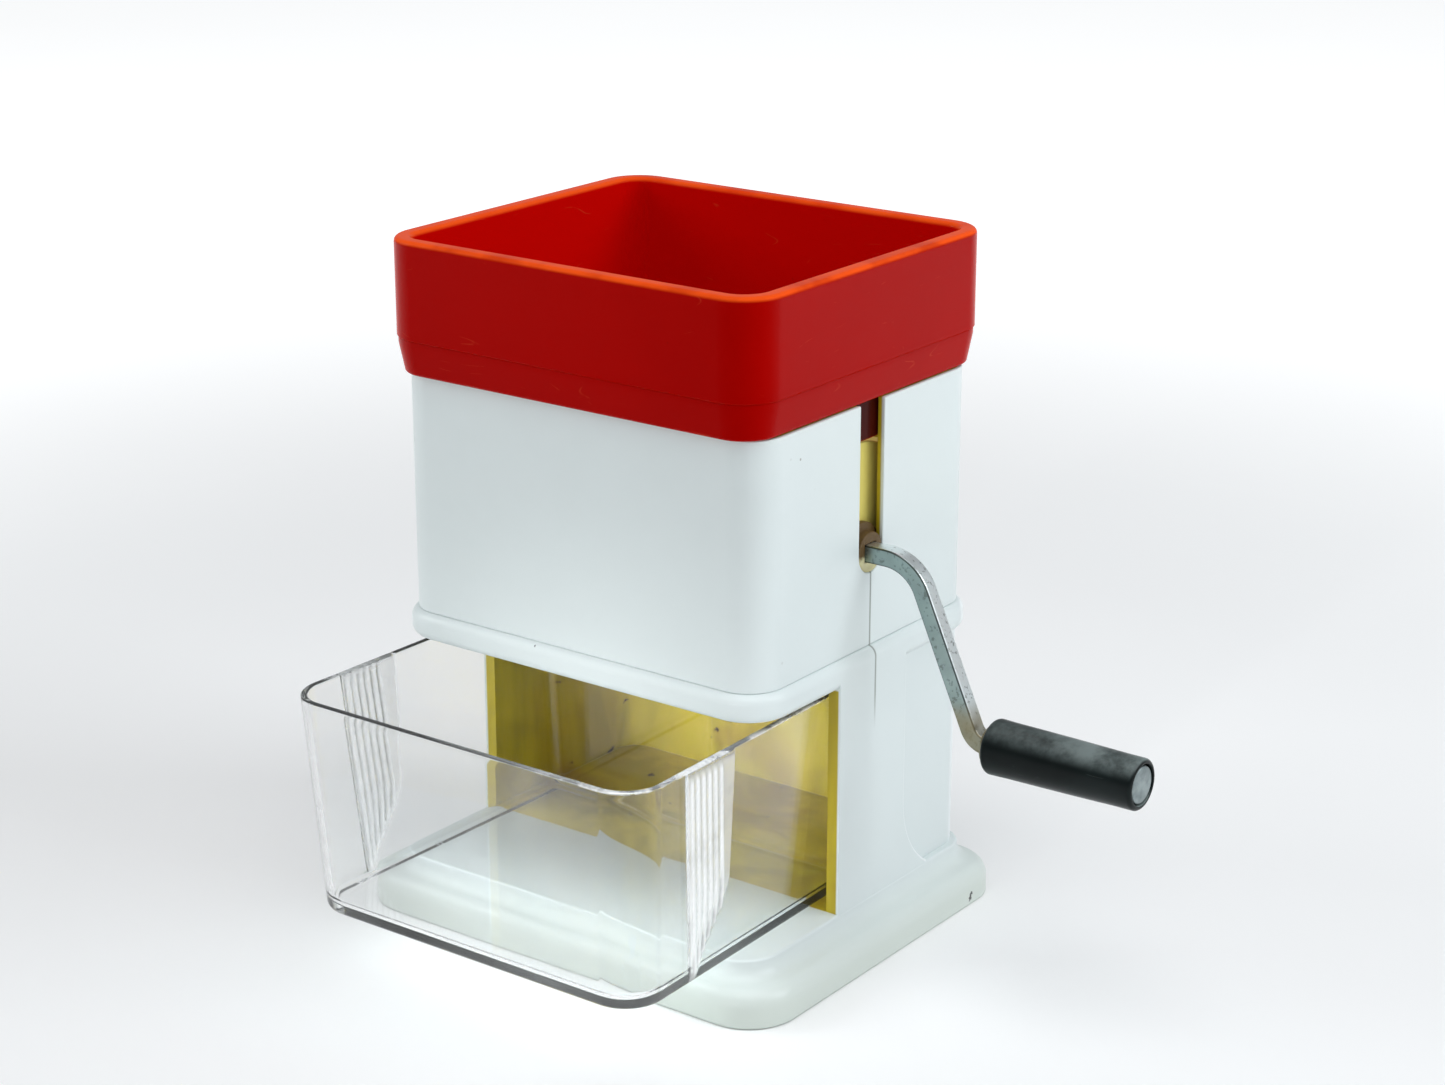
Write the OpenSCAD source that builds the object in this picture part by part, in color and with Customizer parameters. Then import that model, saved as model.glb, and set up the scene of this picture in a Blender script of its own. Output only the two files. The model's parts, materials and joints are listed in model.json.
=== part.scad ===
// Hand-cranked rotary grater: a red feed hopper on a two-part housing, a stand with a
// clear drawer under the rotor, and a bent square crank with a loose black grip.
// +X points to the crank, -Y to the drawer's front and +Z up. The origin is on the
// underside, below the middle of the housing. Millimetres.

/* [Housing] */
// Half of the housing's width
body_half_w = 62.75; // [61:0.25:64]
// Half of the housing's depth
body_half_d = 52.65; // [51:0.25:54]
// Corner radius of the housing, seen from above
body_corner_r = 11; // [9:0.5:13]
// Thickness of the housing's walls
wall = 2.4; // [1.8:0.1:2.6]
// Height of the housing's top edge
body_top_z = 161.2; // [158:0.5:163]

/* [Stand] */
// Half of the foot's width
foot_half_w = 73.2; // [71:0.5:78]
// How far the foot reaches to the front
foot_front = 65; // [62:0.5:70]
// How far the foot reaches to the rear
foot_rear = 55.9; // [55:0.1:60]
// Height of the foot's flat top
foot_h = 11.5; // [10:0.5:12]
// Height of the platform that the drawer slides on
platform_z = 16.3; // [15:0.1:17]
// Front edge of the stand's side walls, behind the housing's front
cheek_front_y = -17; // [-18:0.5:-12]
// Underside of the bead round the stand's top
bead_low_z = 83.25; // [82:0.25:84]
// Seam between the bead and the housing
seam_z = 91.45; // [90.5:0.05:92]
// How far the bead stands out from the housing
bead_proud = 2.15; // [1.5:0.05:3]

/* [Hopper] */
// Half of the hopper's width
hopper_half_w = 64.3; // [63.5:0.1:66]
// Half of the hopper's depth
hopper_half_d = 57; // [55:0.5:60]
// Top of the hopper's rim
hopper_top_z = 200; // [190:1:220]
// Joint between the hopper's bin and its collar
collar_top_z = 171.7; // [168:0.1:176]
// Lower end of the collar's skirt, inside the housing
skirt_low_z = 149.6; // [149.4:0.1:152]
// Width of the rim's flat top
rim_w = 5.2; // [3.5:0.1:6]

/* [Crank and rotor] */
// Height of the shaft's axis
shaft_z = 118.5; // [117.5:0.5:119]
// Side of the square bar
bar = 5; // [4.5:0.1:5.2]
// Distance from the shaft's axis to the grip's axis
throw = 47.2; // [40:0.1:55]
// Slope of the crank's arm below the horizontal
arm_angle = 66; // [60:1:72]
// Start of the crank's first bend
bend_x = 68.7; // [67:0.1:72]
// Radius of the first bend, along the bar's middle
first_bend_r = 13; // [10:0.5:15]
// Radius of the second bend, along the bar's middle
second_bend_r = 6; // [5:0.5:8]
// Largest radius of the grip
grip_r = 7.8; // [7:0.1:9]
// Length of the grip
grip_len = 46; // [40:1:55]
// Radius of the toothed discs at the tips of their teeth
disc_r = 29; // [27:0.5:29]
// Depth of the discs' teeth
tooth_h = 3; // [2:0.5:4]
// Teeth on each disc
teeth = 30; // [22:4:38]
// Number of toothed discs
discs = 10; // [6:2:10]
// Distance between neighbouring discs
disc_pitch = 11; // [9:0.5:11]

/* [Drawer] */
// How far the drawer stands out of its closed place
drawer_out = 42.5; // [5:0.5:60]
// Half of the drawer's width at the rim of its front
drawer_half_w = 61.4; // [60.5:0.1:61.4]
// Length of the drawer at its rim
drawer_len = 110; // [100:1:110]
// Height of the drawer's rim
drawer_rim_z = 80.4; // [76:0.1:82]
// Corner radius of the drawer's front
drawer_corner_r = 12; // [8:0.5:14]
// Thickness of the drawer's walls
drawer_wall = 2; // [1.6:0.1:2.4]

/* [Hidden] */

$fn = 64;
hull_fn = 32;
slab = 0.05;
cut = 1;
gap = 0.3;

inner_half_w = body_half_w - wall;
inner_half_d = body_half_d - wall;
inner_corner_r = body_corner_r - wall;

foot_front_r = 15;
foot_rear_r = 10;
foot_edge_r = 5;
foot_wall = 4.5;
platform_half_w = 65;
platform_front = 58;
platform_r = 12;
platform_skin = 2.5;
platform_wall = 3;
platform_hollow_r = 9;
foot_roof = 3;
plate_h = 2.2;
plate_inset = 2.6;
plate_gap = 0.1;
plate_play = 0.15;

cheek_half_w = body_half_w + bead_proud;
bay_half_w = 60.95;
bay_rear_y = body_half_d - 2.25;
bay_corner_r = 8;
cheek_len = 48;
panel_len = 60;
panel_front_y = 16.5;
panel_curve_r = 28;
panel_curve_z = 40;

post_r = 5;
post_x = 54.5;
post_y = 44.4;
post_top_z = 111.5;
pilot_r = 1.4;
screw_r = 1.35;
screw_hole_r = 1.7;
head_r = 2.8;
head_h = 2;
head_hole_r = 3.1;
recess_reach = 0.6;
recess_w = 0.7;
base_seat_z = 1.5;
base_screw_scale = 0.7;
base_screw_len = 12;
housing_screw_len = 13;
comb_screw_len = 9;
deck_seat_z = 87.5;
foot_post_x = 50;
foot_post_y = 38;
foot_post_r = 4;

slot_r = 5.75;
running = 0.05;
rim_corner_r = 12;
collar_inset = 1.9;
collar_low_z = body_top_z + gap;
skirt_play = 0.45;
skirt_wall = 2.4;
bin_low_half_w = 58.4;
bin_low_half_d = 49.6;
throat_r = 6;
collar_step = 0.4;
collar_band_h = 2;
skirt_lap = 4;

plate_r = 30;
end_plate_w = 3;
disc_w = 1.2;
tip_share = 0.35;
hub_r = 10;
bar_play = 0.1;
bush_face_x = body_half_w - 0.15;
flange_outer_x = inner_half_w - 0.4;
flange_w = 2;
flange_r = 8;
end_plate_x = flange_outer_x - flange_w - end_plate_w;
first_disc_x = -disc_pitch * (discs - 1) / 2;
bar_left_x = -body_half_w + 1;

first_drop = first_bend_r * (1 - cos(arm_angle));
second_drop = second_bend_r * (1 - cos(arm_angle));
arm_len = (throw - first_drop - second_drop) / sin(arm_angle);
arm_top = [bend_x + first_bend_r * sin(arm_angle), shaft_z - first_drop];
arm_low = [arm_top[0] + arm_len * cos(arm_angle), arm_top[1] - arm_len * sin(arm_angle)];
pin_x = arm_low[0] + second_bend_r * sin(arm_angle);
grip_z = shaft_z - throw;
pin_r = 2.45;
pin_gap = 0.2;
washer_w = 0.8;
washer_r = 5.5;
grip_x = pin_x + pin_gap + washer_w + gap;
rivet_r = 4.2;
rivet_h = 1.5;
rivet_taper = 0.5;
rivet_seat_r = 4.9;
grip_end_r = grip_r - 0.6;
grip_end_round = 2.4;
grip_start_round = 1.2;

comb_half_w = inner_half_w - 0.45;
comb_half_d = inner_half_d - 0.35;
comb_corner_r = inner_corner_r - 0.4;
comb_inner_y = 32;
finger_tip_y = 13;
finger_low_z = 114.5;
finger_h = 3;
finger_w = disc_pitch - disc_w - 2.4;
ramp_top_z = 134;
ramp_w = 2.6;
ramp_rise = 1.6;
ramp_foot = 3;
finger_root = 1;
boss_top_z = 127;
comb_boss_r = 4;
comb_seat_z = 114.5;

drawer_low_z = platform_z + gap;
drawer_front_y = -(body_half_d + 8.85) - drawer_out;
drawer_low_front_y = drawer_front_y + 3.5;
drawer_rear_y = drawer_front_y + drawer_len;
drawer_taper = 2;
drawer_draft = 3.4;
drawer_rear_r = 4;
drawer_floor = 2;
drawer_h = drawer_rim_z - drawer_low_z;
pad_front = 22;
pad_len = 21.7;
pad_proud = 0.6;
pad_embed = 1;
rib_proud = 0.7;
rib_w = 1.3;
rib_pitch = 2.6;
ribs = 6;
rib_top_y = 1.2;
rib_low_y = 0.8;
rib_end = 3;
rib_crowding = 0.7;
rib_slope = 1.95;
rib_skew = 1.5;
pad_slope_share = 0.43;
pad_low_y = 5.5;
pad_low_len = 2.5;
pad_edge = 0.5;

// Outline with its own corner radii at the front and the rear
module plan(half_w, front, rear, front_r, rear_r) {
    translate([-half_w, front_r - front])
        square([2 * half_w, front + rear - front_r - rear_r]);
    translate([front_r - half_w, -front])
        square([2 * (half_w - front_r), front_r + slab]);
    translate([rear_r - half_w, rear - rear_r - slab])
        square([2 * (half_w - rear_r), rear_r + slab]);
    for (side = [-1, 1]) {
        translate([side * (half_w - front_r), front_r - front])
            circle(front_r);
        translate([side * (half_w - rear_r), rear - rear_r])
            circle(rear_r);
    }
}

// Outline with the same radius at all its corners
module rounded_plan(half_w, half_d, r) {
    plan(half_w, half_d, half_d, r, r);
}

// Straight prism of a rounded outline between two heights
module block(half_w, half_d, r, low_z, top_z) {
    translate([0, 0, low_z])
        linear_extrude(top_z - low_z)
            rounded_plan(half_w, half_d, r);
}

// Solid of the foot's outline, inset by a given amount
module foot_block(inset, low_z, top_z) {
    translate([0, 0, low_z])
        linear_extrude(top_z - low_z)
            plan(foot_half_w - inset, foot_front - inset, foot_rear - inset,
                 foot_front_r - inset, foot_rear_r - inset);
}

// Copies of a piece at the four corner posts
module at_posts(x, y) {
    for (side = [-1, 1], end = [-1, 1])
        translate([side * x, end * y, 0])
            children();
}

// Screw with a cross recess: its head's underside is at the origin and its shank points up
module screw(shank_len) {
    difference() {
        union() {
            cylinder(h = shank_len, r = screw_r);
            translate([0, 0, -head_h])
                cylinder(h = head_h, r = head_r);
        }
        for (turn = [0, 90])
            rotate([0, 0, turn])
                translate([-head_r * recess_reach, -recess_w / 2, -head_h - cut])
                    cube([2 * head_r * recess_reach, recess_w, cut + head_h * recess_reach]);
    }
}

// Quarter-round edge turned round one corner of the foot
module edge_corner(corner_r) {
    rotate_extrude()
        translate([corner_r - foot_edge_r, 0])
            intersection() {
                circle(foot_edge_r);
                square(foot_edge_r);
            }
}

// Slab with a quarter-round top edge that runs round all its sides and corners
module foot_shell() {
    edge_z = foot_h - foot_edge_r;
    foot_block(0, 0, edge_z);
    foot_block(foot_edge_r, 0, foot_h);
    translate([0, 0, edge_z]) {
        for (side = [-1, 1]) {
            translate([side * (foot_half_w - foot_edge_r), foot_front_r - foot_front, 0])
                rotate([-90, 0, 0])
                    cylinder(h = foot_front + foot_rear - foot_front_r - foot_rear_r, r = foot_edge_r);
            translate([side * (foot_half_w - foot_front_r), foot_front_r - foot_front, 0])
                edge_corner(foot_front_r);
            translate([side * (foot_half_w - foot_rear_r), foot_rear - foot_rear_r, 0])
                edge_corner(foot_rear_r);
        }
        translate([foot_front_r - foot_half_w, foot_edge_r - foot_front, 0])
            rotate([0, 90, 0])
                cylinder(h = 2 * (foot_half_w - foot_front_r), r = foot_edge_r);
        translate([foot_rear_r - foot_half_w, foot_rear - foot_edge_r, 0])
            rotate([0, 90, 0])
                cylinder(h = 2 * (foot_half_w - foot_rear_r), r = foot_edge_r);
    }
}

module foot() {
    color("white")
        difference() {
            union() {
                difference() {
                    union() {
                        foot_shell();
                        translate([0, 0, plate_h])
                            linear_extrude(platform_z - plate_h)
                                plan(platform_half_w, platform_front, body_half_d,
                                     platform_r, body_corner_r);
                    }
                    translate([0, 0, -cut])
                        linear_extrude(cut + plate_h + plate_gap)
                            plan(foot_half_w - plate_inset, foot_front - plate_inset,
                                 foot_rear - plate_inset, foot_front_r - plate_inset,
                                 foot_rear_r - plate_inset);
                    linear_extrude(foot_h - foot_roof)
                        plan(foot_half_w - foot_wall, foot_front - foot_wall,
                             foot_rear - foot_wall, foot_front_r - foot_wall,
                             foot_rear_r - foot_wall);
                    linear_extrude(platform_z - platform_skin)
                        plan(platform_half_w - platform_wall, platform_front - platform_wall,
                             body_half_d - platform_wall, platform_hollow_r, body_corner_r - platform_wall);
                }
                at_posts(foot_post_x, foot_post_y)
                    translate([0, 0, plate_h + plate_gap])
                        cylinder(h = platform_z - plate_h - cut, r = foot_post_r);
            }
            at_posts(foot_post_x, foot_post_y)
                cylinder(h = platform_z - platform_skin, r = pilot_r);
        }
}

// Side profile of a cheek: straight at the front, with the recessed panel's curve behind
module cheek_profile() {
    difference() {
        translate([cheek_front_y, platform_z])
            square([cheek_len, bead_low_z - platform_z + cut]);
        translate([panel_front_y, panel_curve_z])
            square([panel_len, bead_low_z - panel_curve_z]);
        translate([panel_front_y + panel_curve_r, panel_curve_z])
            circle(panel_curve_r);
    }
}

// Side walls, rear wall and the bead round the top
module column() {
    color("white")
        difference() {
            union() {
                difference() {
                    union() {
                        translate([0, 0, platform_z])
                            linear_extrude(bead_low_z - platform_z + cut)
                                plan(body_half_w, -cheek_front_y, body_half_d, slab, body_corner_r);
                        rotate([90, 0, 90])
                            translate([0, 0, -cheek_half_w])
                                linear_extrude(2 * cheek_half_w)
                                    cheek_profile();
                    }
                    translate([0, 0, platform_z - cut])
                        linear_extrude(bead_low_z - platform_z + 4 * cut)
                            plan(bay_half_w, foot_front, bay_rear_y, slab, bay_corner_r);
                }
                difference() {
                    block(cheek_half_w, body_half_d + bead_proud, body_corner_r + bead_proud,
                          bead_low_z, seam_z);
                    block(inner_half_w, inner_half_d, inner_corner_r,
                          bead_low_z - cut, seam_z + cut);
                }
                at_posts(post_x, post_y)
                    translate([0, 0, bead_low_z])
                        cylinder(h = seam_z - bead_low_z, r = post_r);
            }
            at_posts(post_x, post_y) {
                translate([0, 0, bead_low_z - cut])
                    cylinder(h = seam_z - bead_low_z + 2 * cut, r = screw_hole_r);
                translate([0, 0, bead_low_z - cut])
                    cylinder(h = deck_seat_z - bead_low_z + cut, r = head_hole_r);
            }
        }
}

module base_plate() {
    inset = plate_inset + plate_play;
    color("whitesmoke")
        difference() {
            linear_extrude(plate_h)
                plan(foot_half_w - inset, foot_front - inset, foot_rear - inset,
                     foot_front_r - inset, foot_rear_r - inset);
            at_posts(foot_post_x, foot_post_y) {
                translate([0, 0, -cut])
                    cylinder(h = plate_h + 2 * cut, r = screw_hole_r);
                translate([0, 0, -cut])
                    cylinder(h = cut + base_seat_z, r = head_hole_r);
            }
        }
}

module base_screws() {
    color("silver")
        at_posts(foot_post_x, foot_post_y)
            translate([0, 0, base_seat_z])
                scale(base_screw_scale)
                    screw(base_screw_len);
}

// Half of the housing: side is -1 at the front and 1 at the rear
module housing_half(side) {
    low_cut = side < 0 ? 0 : -2 * body_half_d;
    color("white")
        difference() {
            union() {
                difference() {
                    block(body_half_w, body_half_d, body_corner_r, seam_z, body_top_z);
                    block(inner_half_w, inner_half_d, inner_corner_r, seam_z - cut, body_top_z + cut);
                }
                at_posts(post_x, post_y)
                    translate([0, 0, seam_z])
                        cylinder(h = post_top_z - seam_z, r = post_r);
            }
            translate([-2 * body_half_w, low_cut, seam_z - cut])
                cube([4 * body_half_w, 2 * body_half_d, body_top_z]);
            at_posts(post_x, post_y)
                translate([0, 0, seam_z - cut])
                    cylinder(h = post_top_z, r = pilot_r);
            translate([-2 * body_half_w, 0, shaft_z])
                rotate([0, 90, 0])
                    cylinder(h = 4 * body_half_w, r = slot_r);
            translate([-2 * body_half_w, -slot_r, shaft_z])
                cube([4 * body_half_w, 2 * slot_r, body_top_z]);
        }
}

module housing_front() {
    housing_half(-1);
}

module housing_rear() {
    housing_half(1);
}

module housing_screws() {
    color("silver")
        at_posts(post_x, post_y)
            translate([0, 0, deck_seat_z])
                screw(housing_screw_len);
}

// Sloped feed plate with fingers between the discs: side is -1 at the front and 1 at the rear
module comb(side) {
    ramp_low_z = finger_low_z + finger_h;
    color("ivory")
        difference() {
            union() {
                intersection() {
                    rotate([90, 0, 90])
                        translate([0, 0, -comb_half_w])
                            linear_extrude(2 * comb_half_w)
                                polygon([
                                    [side * comb_inner_y, finger_low_z],
                                    [side * comb_inner_y, ramp_low_z],
                                    [side * comb_half_d, ramp_top_z],
                                    [side * comb_half_d, ramp_top_z - ramp_w * ramp_rise],
                                    [side * (comb_inner_y + ramp_foot), finger_low_z]
                                ]);
                    block(comb_half_w, comb_half_d, comb_corner_r, finger_low_z - cut, ramp_top_z + cut);
                }
                for (end = [-1, 1])
                    translate([end * post_x, side * post_y, post_top_z])
                        cylinder(h = boss_top_z - post_top_z, r = comb_boss_r);
                for (i = [0:discs - 2])
                    translate([first_disc_x + (i + 0.5) * disc_pitch - finger_w / 2,
                               side > 0 ? finger_tip_y : -comb_inner_y - finger_root, finger_low_z])
                        cube([finger_w, comb_inner_y + finger_root - finger_tip_y, finger_h]);
            }
            for (end = [-1, 1])
                translate([end * post_x, side * post_y, 0]) {
                    cylinder(h = boss_top_z, r = screw_hole_r);
                    translate([0, 0, comb_seat_z])
                        cylinder(h = boss_top_z, r = head_hole_r);
                }
        }
}

module comb_front() {
    comb(-1);
}

module comb_rear() {
    comb(1);
}

module comb_screws() {
    color("silver")
        at_posts(post_x, post_y)
            translate([0, 0, comb_seat_z])
                rotate([180, 0, 0])
                    screw(comb_screw_len);
}

module hopper_bin() {
    color("red")
        difference() {
            block(hopper_half_w, hopper_half_d, rim_corner_r, collar_top_z, hopper_top_z);
            hull() {
                block(hopper_half_w - rim_w, hopper_half_d - rim_w, rim_corner_r - rim_w,
                      hopper_top_z, hopper_top_z + slab, $fn = hull_fn);
                block(bin_low_half_w, bin_low_half_d, throat_r, collar_top_z - slab, collar_top_z,
                      $fn = hull_fn);
            }
        }
}

module hopper_collar() {
    skirt_half_w = inner_half_w - skirt_play;
    skirt_half_d = inner_half_d - skirt_play;
    color("red")
        difference() {
            union() {
                hull() {
                    block(hopper_half_w - collar_step, hopper_half_d - collar_step,
                          rim_corner_r - collar_step, collar_top_z - collar_band_h, collar_top_z,
                          $fn = hull_fn);
                    block(hopper_half_w - collar_inset, hopper_half_d - collar_inset,
                          rim_corner_r - collar_inset, collar_low_z, collar_low_z + slab,
                          $fn = hull_fn);
                }
                block(skirt_half_w, skirt_half_d, inner_corner_r - skirt_play, skirt_low_z,
                      collar_top_z - skirt_lap);
            }
            hull() {
                block(bin_low_half_w, bin_low_half_d, throat_r, collar_top_z, collar_top_z + cut,
                      $fn = hull_fn);
                block(skirt_half_w - skirt_wall, skirt_half_d - skirt_wall, throat_r,
                      skirt_low_z - cut, skirt_low_z, $fn = hull_fn);
            }
        }
}

// Corners of the drawer's outer or inner skin at one height
module drawer_layer(inset, half_w, front_y, z) {
    for (side = [-1, 1])
        translate([0, 0, z]) {
            translate([side * (half_w - drawer_corner_r), front_y + drawer_corner_r, 0])
                cylinder(h = slab, r = drawer_corner_r - inset);
            translate([side * (half_w - drawer_taper - drawer_rear_r), drawer_rear_y - drawer_rear_r, 0])
                cylinder(h = slab, r = drawer_rear_r - inset);
        }
}

// Finger pad on the drawer's right wall, in the plane of the leaning wall
module finger_pad() {
    slope_z = drawer_h * pad_slope_share;
    rib_top_z = drawer_h - rib_end;
    rotate([90, 0, 90])
        translate([0, 0, -pad_embed]) {
            linear_extrude(pad_embed + pad_proud)
                polygon([
                    [pad_low_y, pad_edge],
                    [pad_low_y + pad_low_len, pad_edge],
                    [pad_len, slope_z],
                    [pad_len, drawer_h - pad_edge],
                    [0, drawer_h - pad_edge]
                ]);
            linear_extrude(pad_embed + pad_proud + rib_proud)
                for (i = [0:ribs - 1]) {
                    top_y = rib_top_y + i * rib_pitch;
                    foot_y = pad_low_y + rib_low_y + i * (rib_pitch - rib_crowding);
                    foot_z = rib_end + max(0, foot_y - pad_low_y - pad_low_len) * rib_slope;
                    polygon([[foot_y, foot_z], [foot_y + rib_w, foot_z + rib_skew],
                             [top_y + rib_w, rib_top_z], [top_y, rib_top_z]]);
                }
        }
}

module drawer() {
    low_half_w = drawer_half_w - drawer_draft;
    taper_slope = drawer_taper / (drawer_len - drawer_corner_r - drawer_rear_r);
    pad_x = low_half_w - taper_slope * (pad_front - drawer_corner_r);
    color("lightcyan", 0.35)
        difference() {
            union() {
                hull() {
                    drawer_layer(0, low_half_w, drawer_low_front_y, drawer_low_z, $fn = hull_fn);
                    drawer_layer(0, drawer_half_w, drawer_front_y, drawer_rim_z - slab, $fn = hull_fn);
                }
                for (side = [0, 1])
                    mirror([side, 0, 0])
                        translate([pad_x, drawer_front_y + pad_front, drawer_low_z])
                            rotate([0, atan(drawer_draft / drawer_h), atan(taper_slope)])
                                finger_pad();
            }
            hull() {
                drawer_layer(drawer_wall, low_half_w, drawer_low_front_y, drawer_low_z + drawer_floor,
                             $fn = hull_fn);
                drawer_layer(drawer_wall, drawer_half_w, drawer_front_y, drawer_rim_z, $fn = hull_fn);
            }
        }
}

// Part of a ring of the bar's width, for a bend in the plane of the crank
module bend(r, from_angle, to_angle) {
    reach = 3 * r;
    intersection() {
        difference() {
            circle(r + bar / 2);
            circle(r - bar / 2);
        }
        polygon([
            [0, 0],
            reach * [cos(from_angle), sin(from_angle)],
            reach * [cos((from_angle + to_angle) / 2), sin((from_angle + to_angle) / 2)],
            reach * [cos(to_angle), sin(to_angle)]
        ]);
    }
}

module crank_bar() {
    color("silver") {
        rotate([90, 0, 0])
            translate([0, 0, -bar / 2])
                linear_extrude(bar) {
                    translate([bar_left_x, shaft_z - bar / 2])
                        square([bend_x - bar_left_x + slab, bar]);
                    translate([bend_x, shaft_z - first_bend_r])
                        bend(first_bend_r, 90, 90 - arm_angle);
                    translate(arm_top)
                        rotate(-arm_angle)
                            translate([-slab, -bar / 2])
                                square([arm_len + 2 * slab, bar]);
                    translate([pin_x, grip_z + second_bend_r])
                        bend(second_bend_r, 270 - arm_angle, 270);
                }
        translate([pin_x - slab, 0, grip_z])
            rotate([0, 90, 0])
                cylinder(h = grip_x + grip_len - rivet_h - pin_x - pin_gap, r = pin_r);
    }
}

// Square hole for the bar through a part that lies along X
module bar_hole() {
    side = bar + 2 * bar_play;
    translate([-2 * body_half_w, -side / 2, -side / 2])
        cube([4 * body_half_w, side, side]);
}

// Flanged bush that turns in the foot of a housing slot
module bush(side) {
    color("ivory")
        translate([0, 0, shaft_z])
            difference() {
                rotate([0, side * 90, 0]) {
                    translate([0, 0, flange_outer_x - flange_w])
                        cylinder(h = flange_w, r = flange_r);
                    translate([0, 0, flange_outer_x - slab])
                        cylinder(h = bush_face_x - flange_outer_x + slab, r = slot_r - running);
                }
                bar_hole();
            }
}

module bush_right() {
    bush(1);
}

module bush_left() {
    bush(-1);
}

module end_plate(side) {
    color("ivory")
        translate([0, 0, shaft_z])
            difference() {
                rotate([0, side * 90, 0])
                    translate([0, 0, end_plate_x])
                        cylinder(h = end_plate_w, r = plate_r);
                bar_hole();
            }
}

module end_plate_right() {
    end_plate(1);
}

module end_plate_left() {
    end_plate(-1);
}

// Toothed disc number i, counted from the left
module disc(i) {
    step = 360 / teeth;
    root_r = disc_r - tooth_h;
    turn = i % 2 == 0 ? 0 : 90;
    color("silver")
        translate([first_disc_x + (i - 1) * disc_pitch - disc_w / 2, 0, shaft_z])
            difference() {
                rotate([turn, 0, 0])
                    rotate([90, 0, 90])
                        linear_extrude(disc_w)
                            polygon([
                                for (tooth = [0:teeth - 1], tip = [0, 1])
                                    let (r = tip == 1 ? disc_r : root_r,
                                         angle = (tooth + tip * tip_share) * step)
                                        r * [cos(angle), sin(angle)]
                            ]);
                bar_hole();
            }
}

// Hub number i between the discs, with the end ones up to the end plates
module spacer(i) {
    start_x = i == 1 ? -end_plate_x : first_disc_x + (i - 2) * disc_pitch + disc_w / 2;
    end_x = i == discs + 1 ? end_plate_x : first_disc_x + (i - 1) * disc_pitch - disc_w / 2;
    color("ivory")
        translate([0, 0, shaft_z])
            difference() {
                translate([start_x, 0, 0])
                    rotate([0, 90, 0])
                        cylinder(h = end_x - start_x, r = hub_r);
                bar_hole();
            }
}

module grip_washer() {
    color("silver")
        translate([pin_x + pin_gap, 0, grip_z])
            rotate([0, 90, 0])
                difference() {
                    cylinder(h = washer_w, r = washer_r);
                    translate([0, 0, -cut])
                        cylinder(h = washer_w + 2 * cut, r = pin_r + running);
                }
}

module grip_rivet() {
    color("silver")
        translate([grip_x + grip_len - rivet_h - pin_gap, 0, grip_z])
            rotate([0, 90, 0])
                cylinder(h = rivet_h, r1 = rivet_r, r2 = rivet_r - rivet_taper);
}

module grip() {
    color("black")
        translate([grip_x, 0, grip_z])
            rotate([0, 90, 0])
                difference() {
                    rotate_extrude() {
                        polygon([
                            [0, 0],
                            [grip_r - grip_start_round, 0],
                            [grip_r, grip_start_round],
                            [grip_end_r, grip_len - grip_end_round],
                            [grip_end_r - grip_end_round, grip_len],
                            [0, grip_len]
                        ]);
                        translate([grip_end_r - grip_end_round, grip_len - grip_end_round])
                            circle(grip_end_round);
                        translate([grip_r - grip_start_round, grip_start_round])
                            circle(grip_start_round);
                    }
                    translate([0, 0, -cut])
                        cylinder(h = grip_len, r = pin_r + running);
                    translate([0, 0, grip_len - rivet_h - gap - pin_gap])
                        cylinder(h = rivet_h + cut, r = rivet_seat_r);
                }
}

foot();
column();
base_plate();
base_screws();
housing_front();
housing_rear();
housing_screws();
comb_front();
comb_rear();
comb_screws();
hopper_bin();
hopper_collar();
drawer();
crank_bar();
bush_right();
bush_left();
end_plate_right();
end_plate_left();
grip_washer();
grip_rivet();
grip();
for (i = [1:discs])
    disc(i);
for (i = [1:discs + 1])
    spacer(i);
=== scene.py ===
import json
import math

import bmesh
import bpy
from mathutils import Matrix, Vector


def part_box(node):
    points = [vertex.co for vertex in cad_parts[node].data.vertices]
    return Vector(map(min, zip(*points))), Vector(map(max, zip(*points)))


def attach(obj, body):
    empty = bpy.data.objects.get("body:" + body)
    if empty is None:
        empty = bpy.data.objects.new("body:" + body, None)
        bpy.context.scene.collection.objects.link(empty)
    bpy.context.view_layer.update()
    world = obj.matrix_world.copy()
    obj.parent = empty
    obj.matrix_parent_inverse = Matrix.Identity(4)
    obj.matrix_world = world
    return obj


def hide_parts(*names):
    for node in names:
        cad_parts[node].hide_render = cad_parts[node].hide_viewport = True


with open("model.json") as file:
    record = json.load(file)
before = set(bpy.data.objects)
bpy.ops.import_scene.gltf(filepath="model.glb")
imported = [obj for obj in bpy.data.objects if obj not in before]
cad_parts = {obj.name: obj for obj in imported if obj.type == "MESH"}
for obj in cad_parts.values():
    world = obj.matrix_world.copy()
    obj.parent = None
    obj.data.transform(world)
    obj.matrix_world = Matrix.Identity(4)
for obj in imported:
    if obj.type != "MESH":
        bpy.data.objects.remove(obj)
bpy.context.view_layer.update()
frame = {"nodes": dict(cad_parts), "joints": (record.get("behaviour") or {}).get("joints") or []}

# ------------------------------------------------------------
# Sizes, in metres, read from the frame or worked out from it
# ------------------------------------------------------------

MM = 0.001
JOINTS = {joint["name"]: joint for joint in frame["joints"]}
SHAFT_Z = JOINTS["crank_turn"]["pos_m"][2]
GRIP_Z = JOINTS["grip_turn"]["pos_m"][2]
# Lower edge of the hopper's collar, front of the column's cheeks, and corners of the bay between them
COLLAR_LOW_Z = 161.5 * MM
CHEEK_FRONT_Y = -17 * MM
BAY_CORNER_R = 8 * MM
# Steps round a corner, the angle in degrees that makes an edge sharp, and a distance that counts as none
CORNER_STEPS = 12
SHARP_ANGLE = 35
TOUCH = 0.001 * MM


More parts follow.
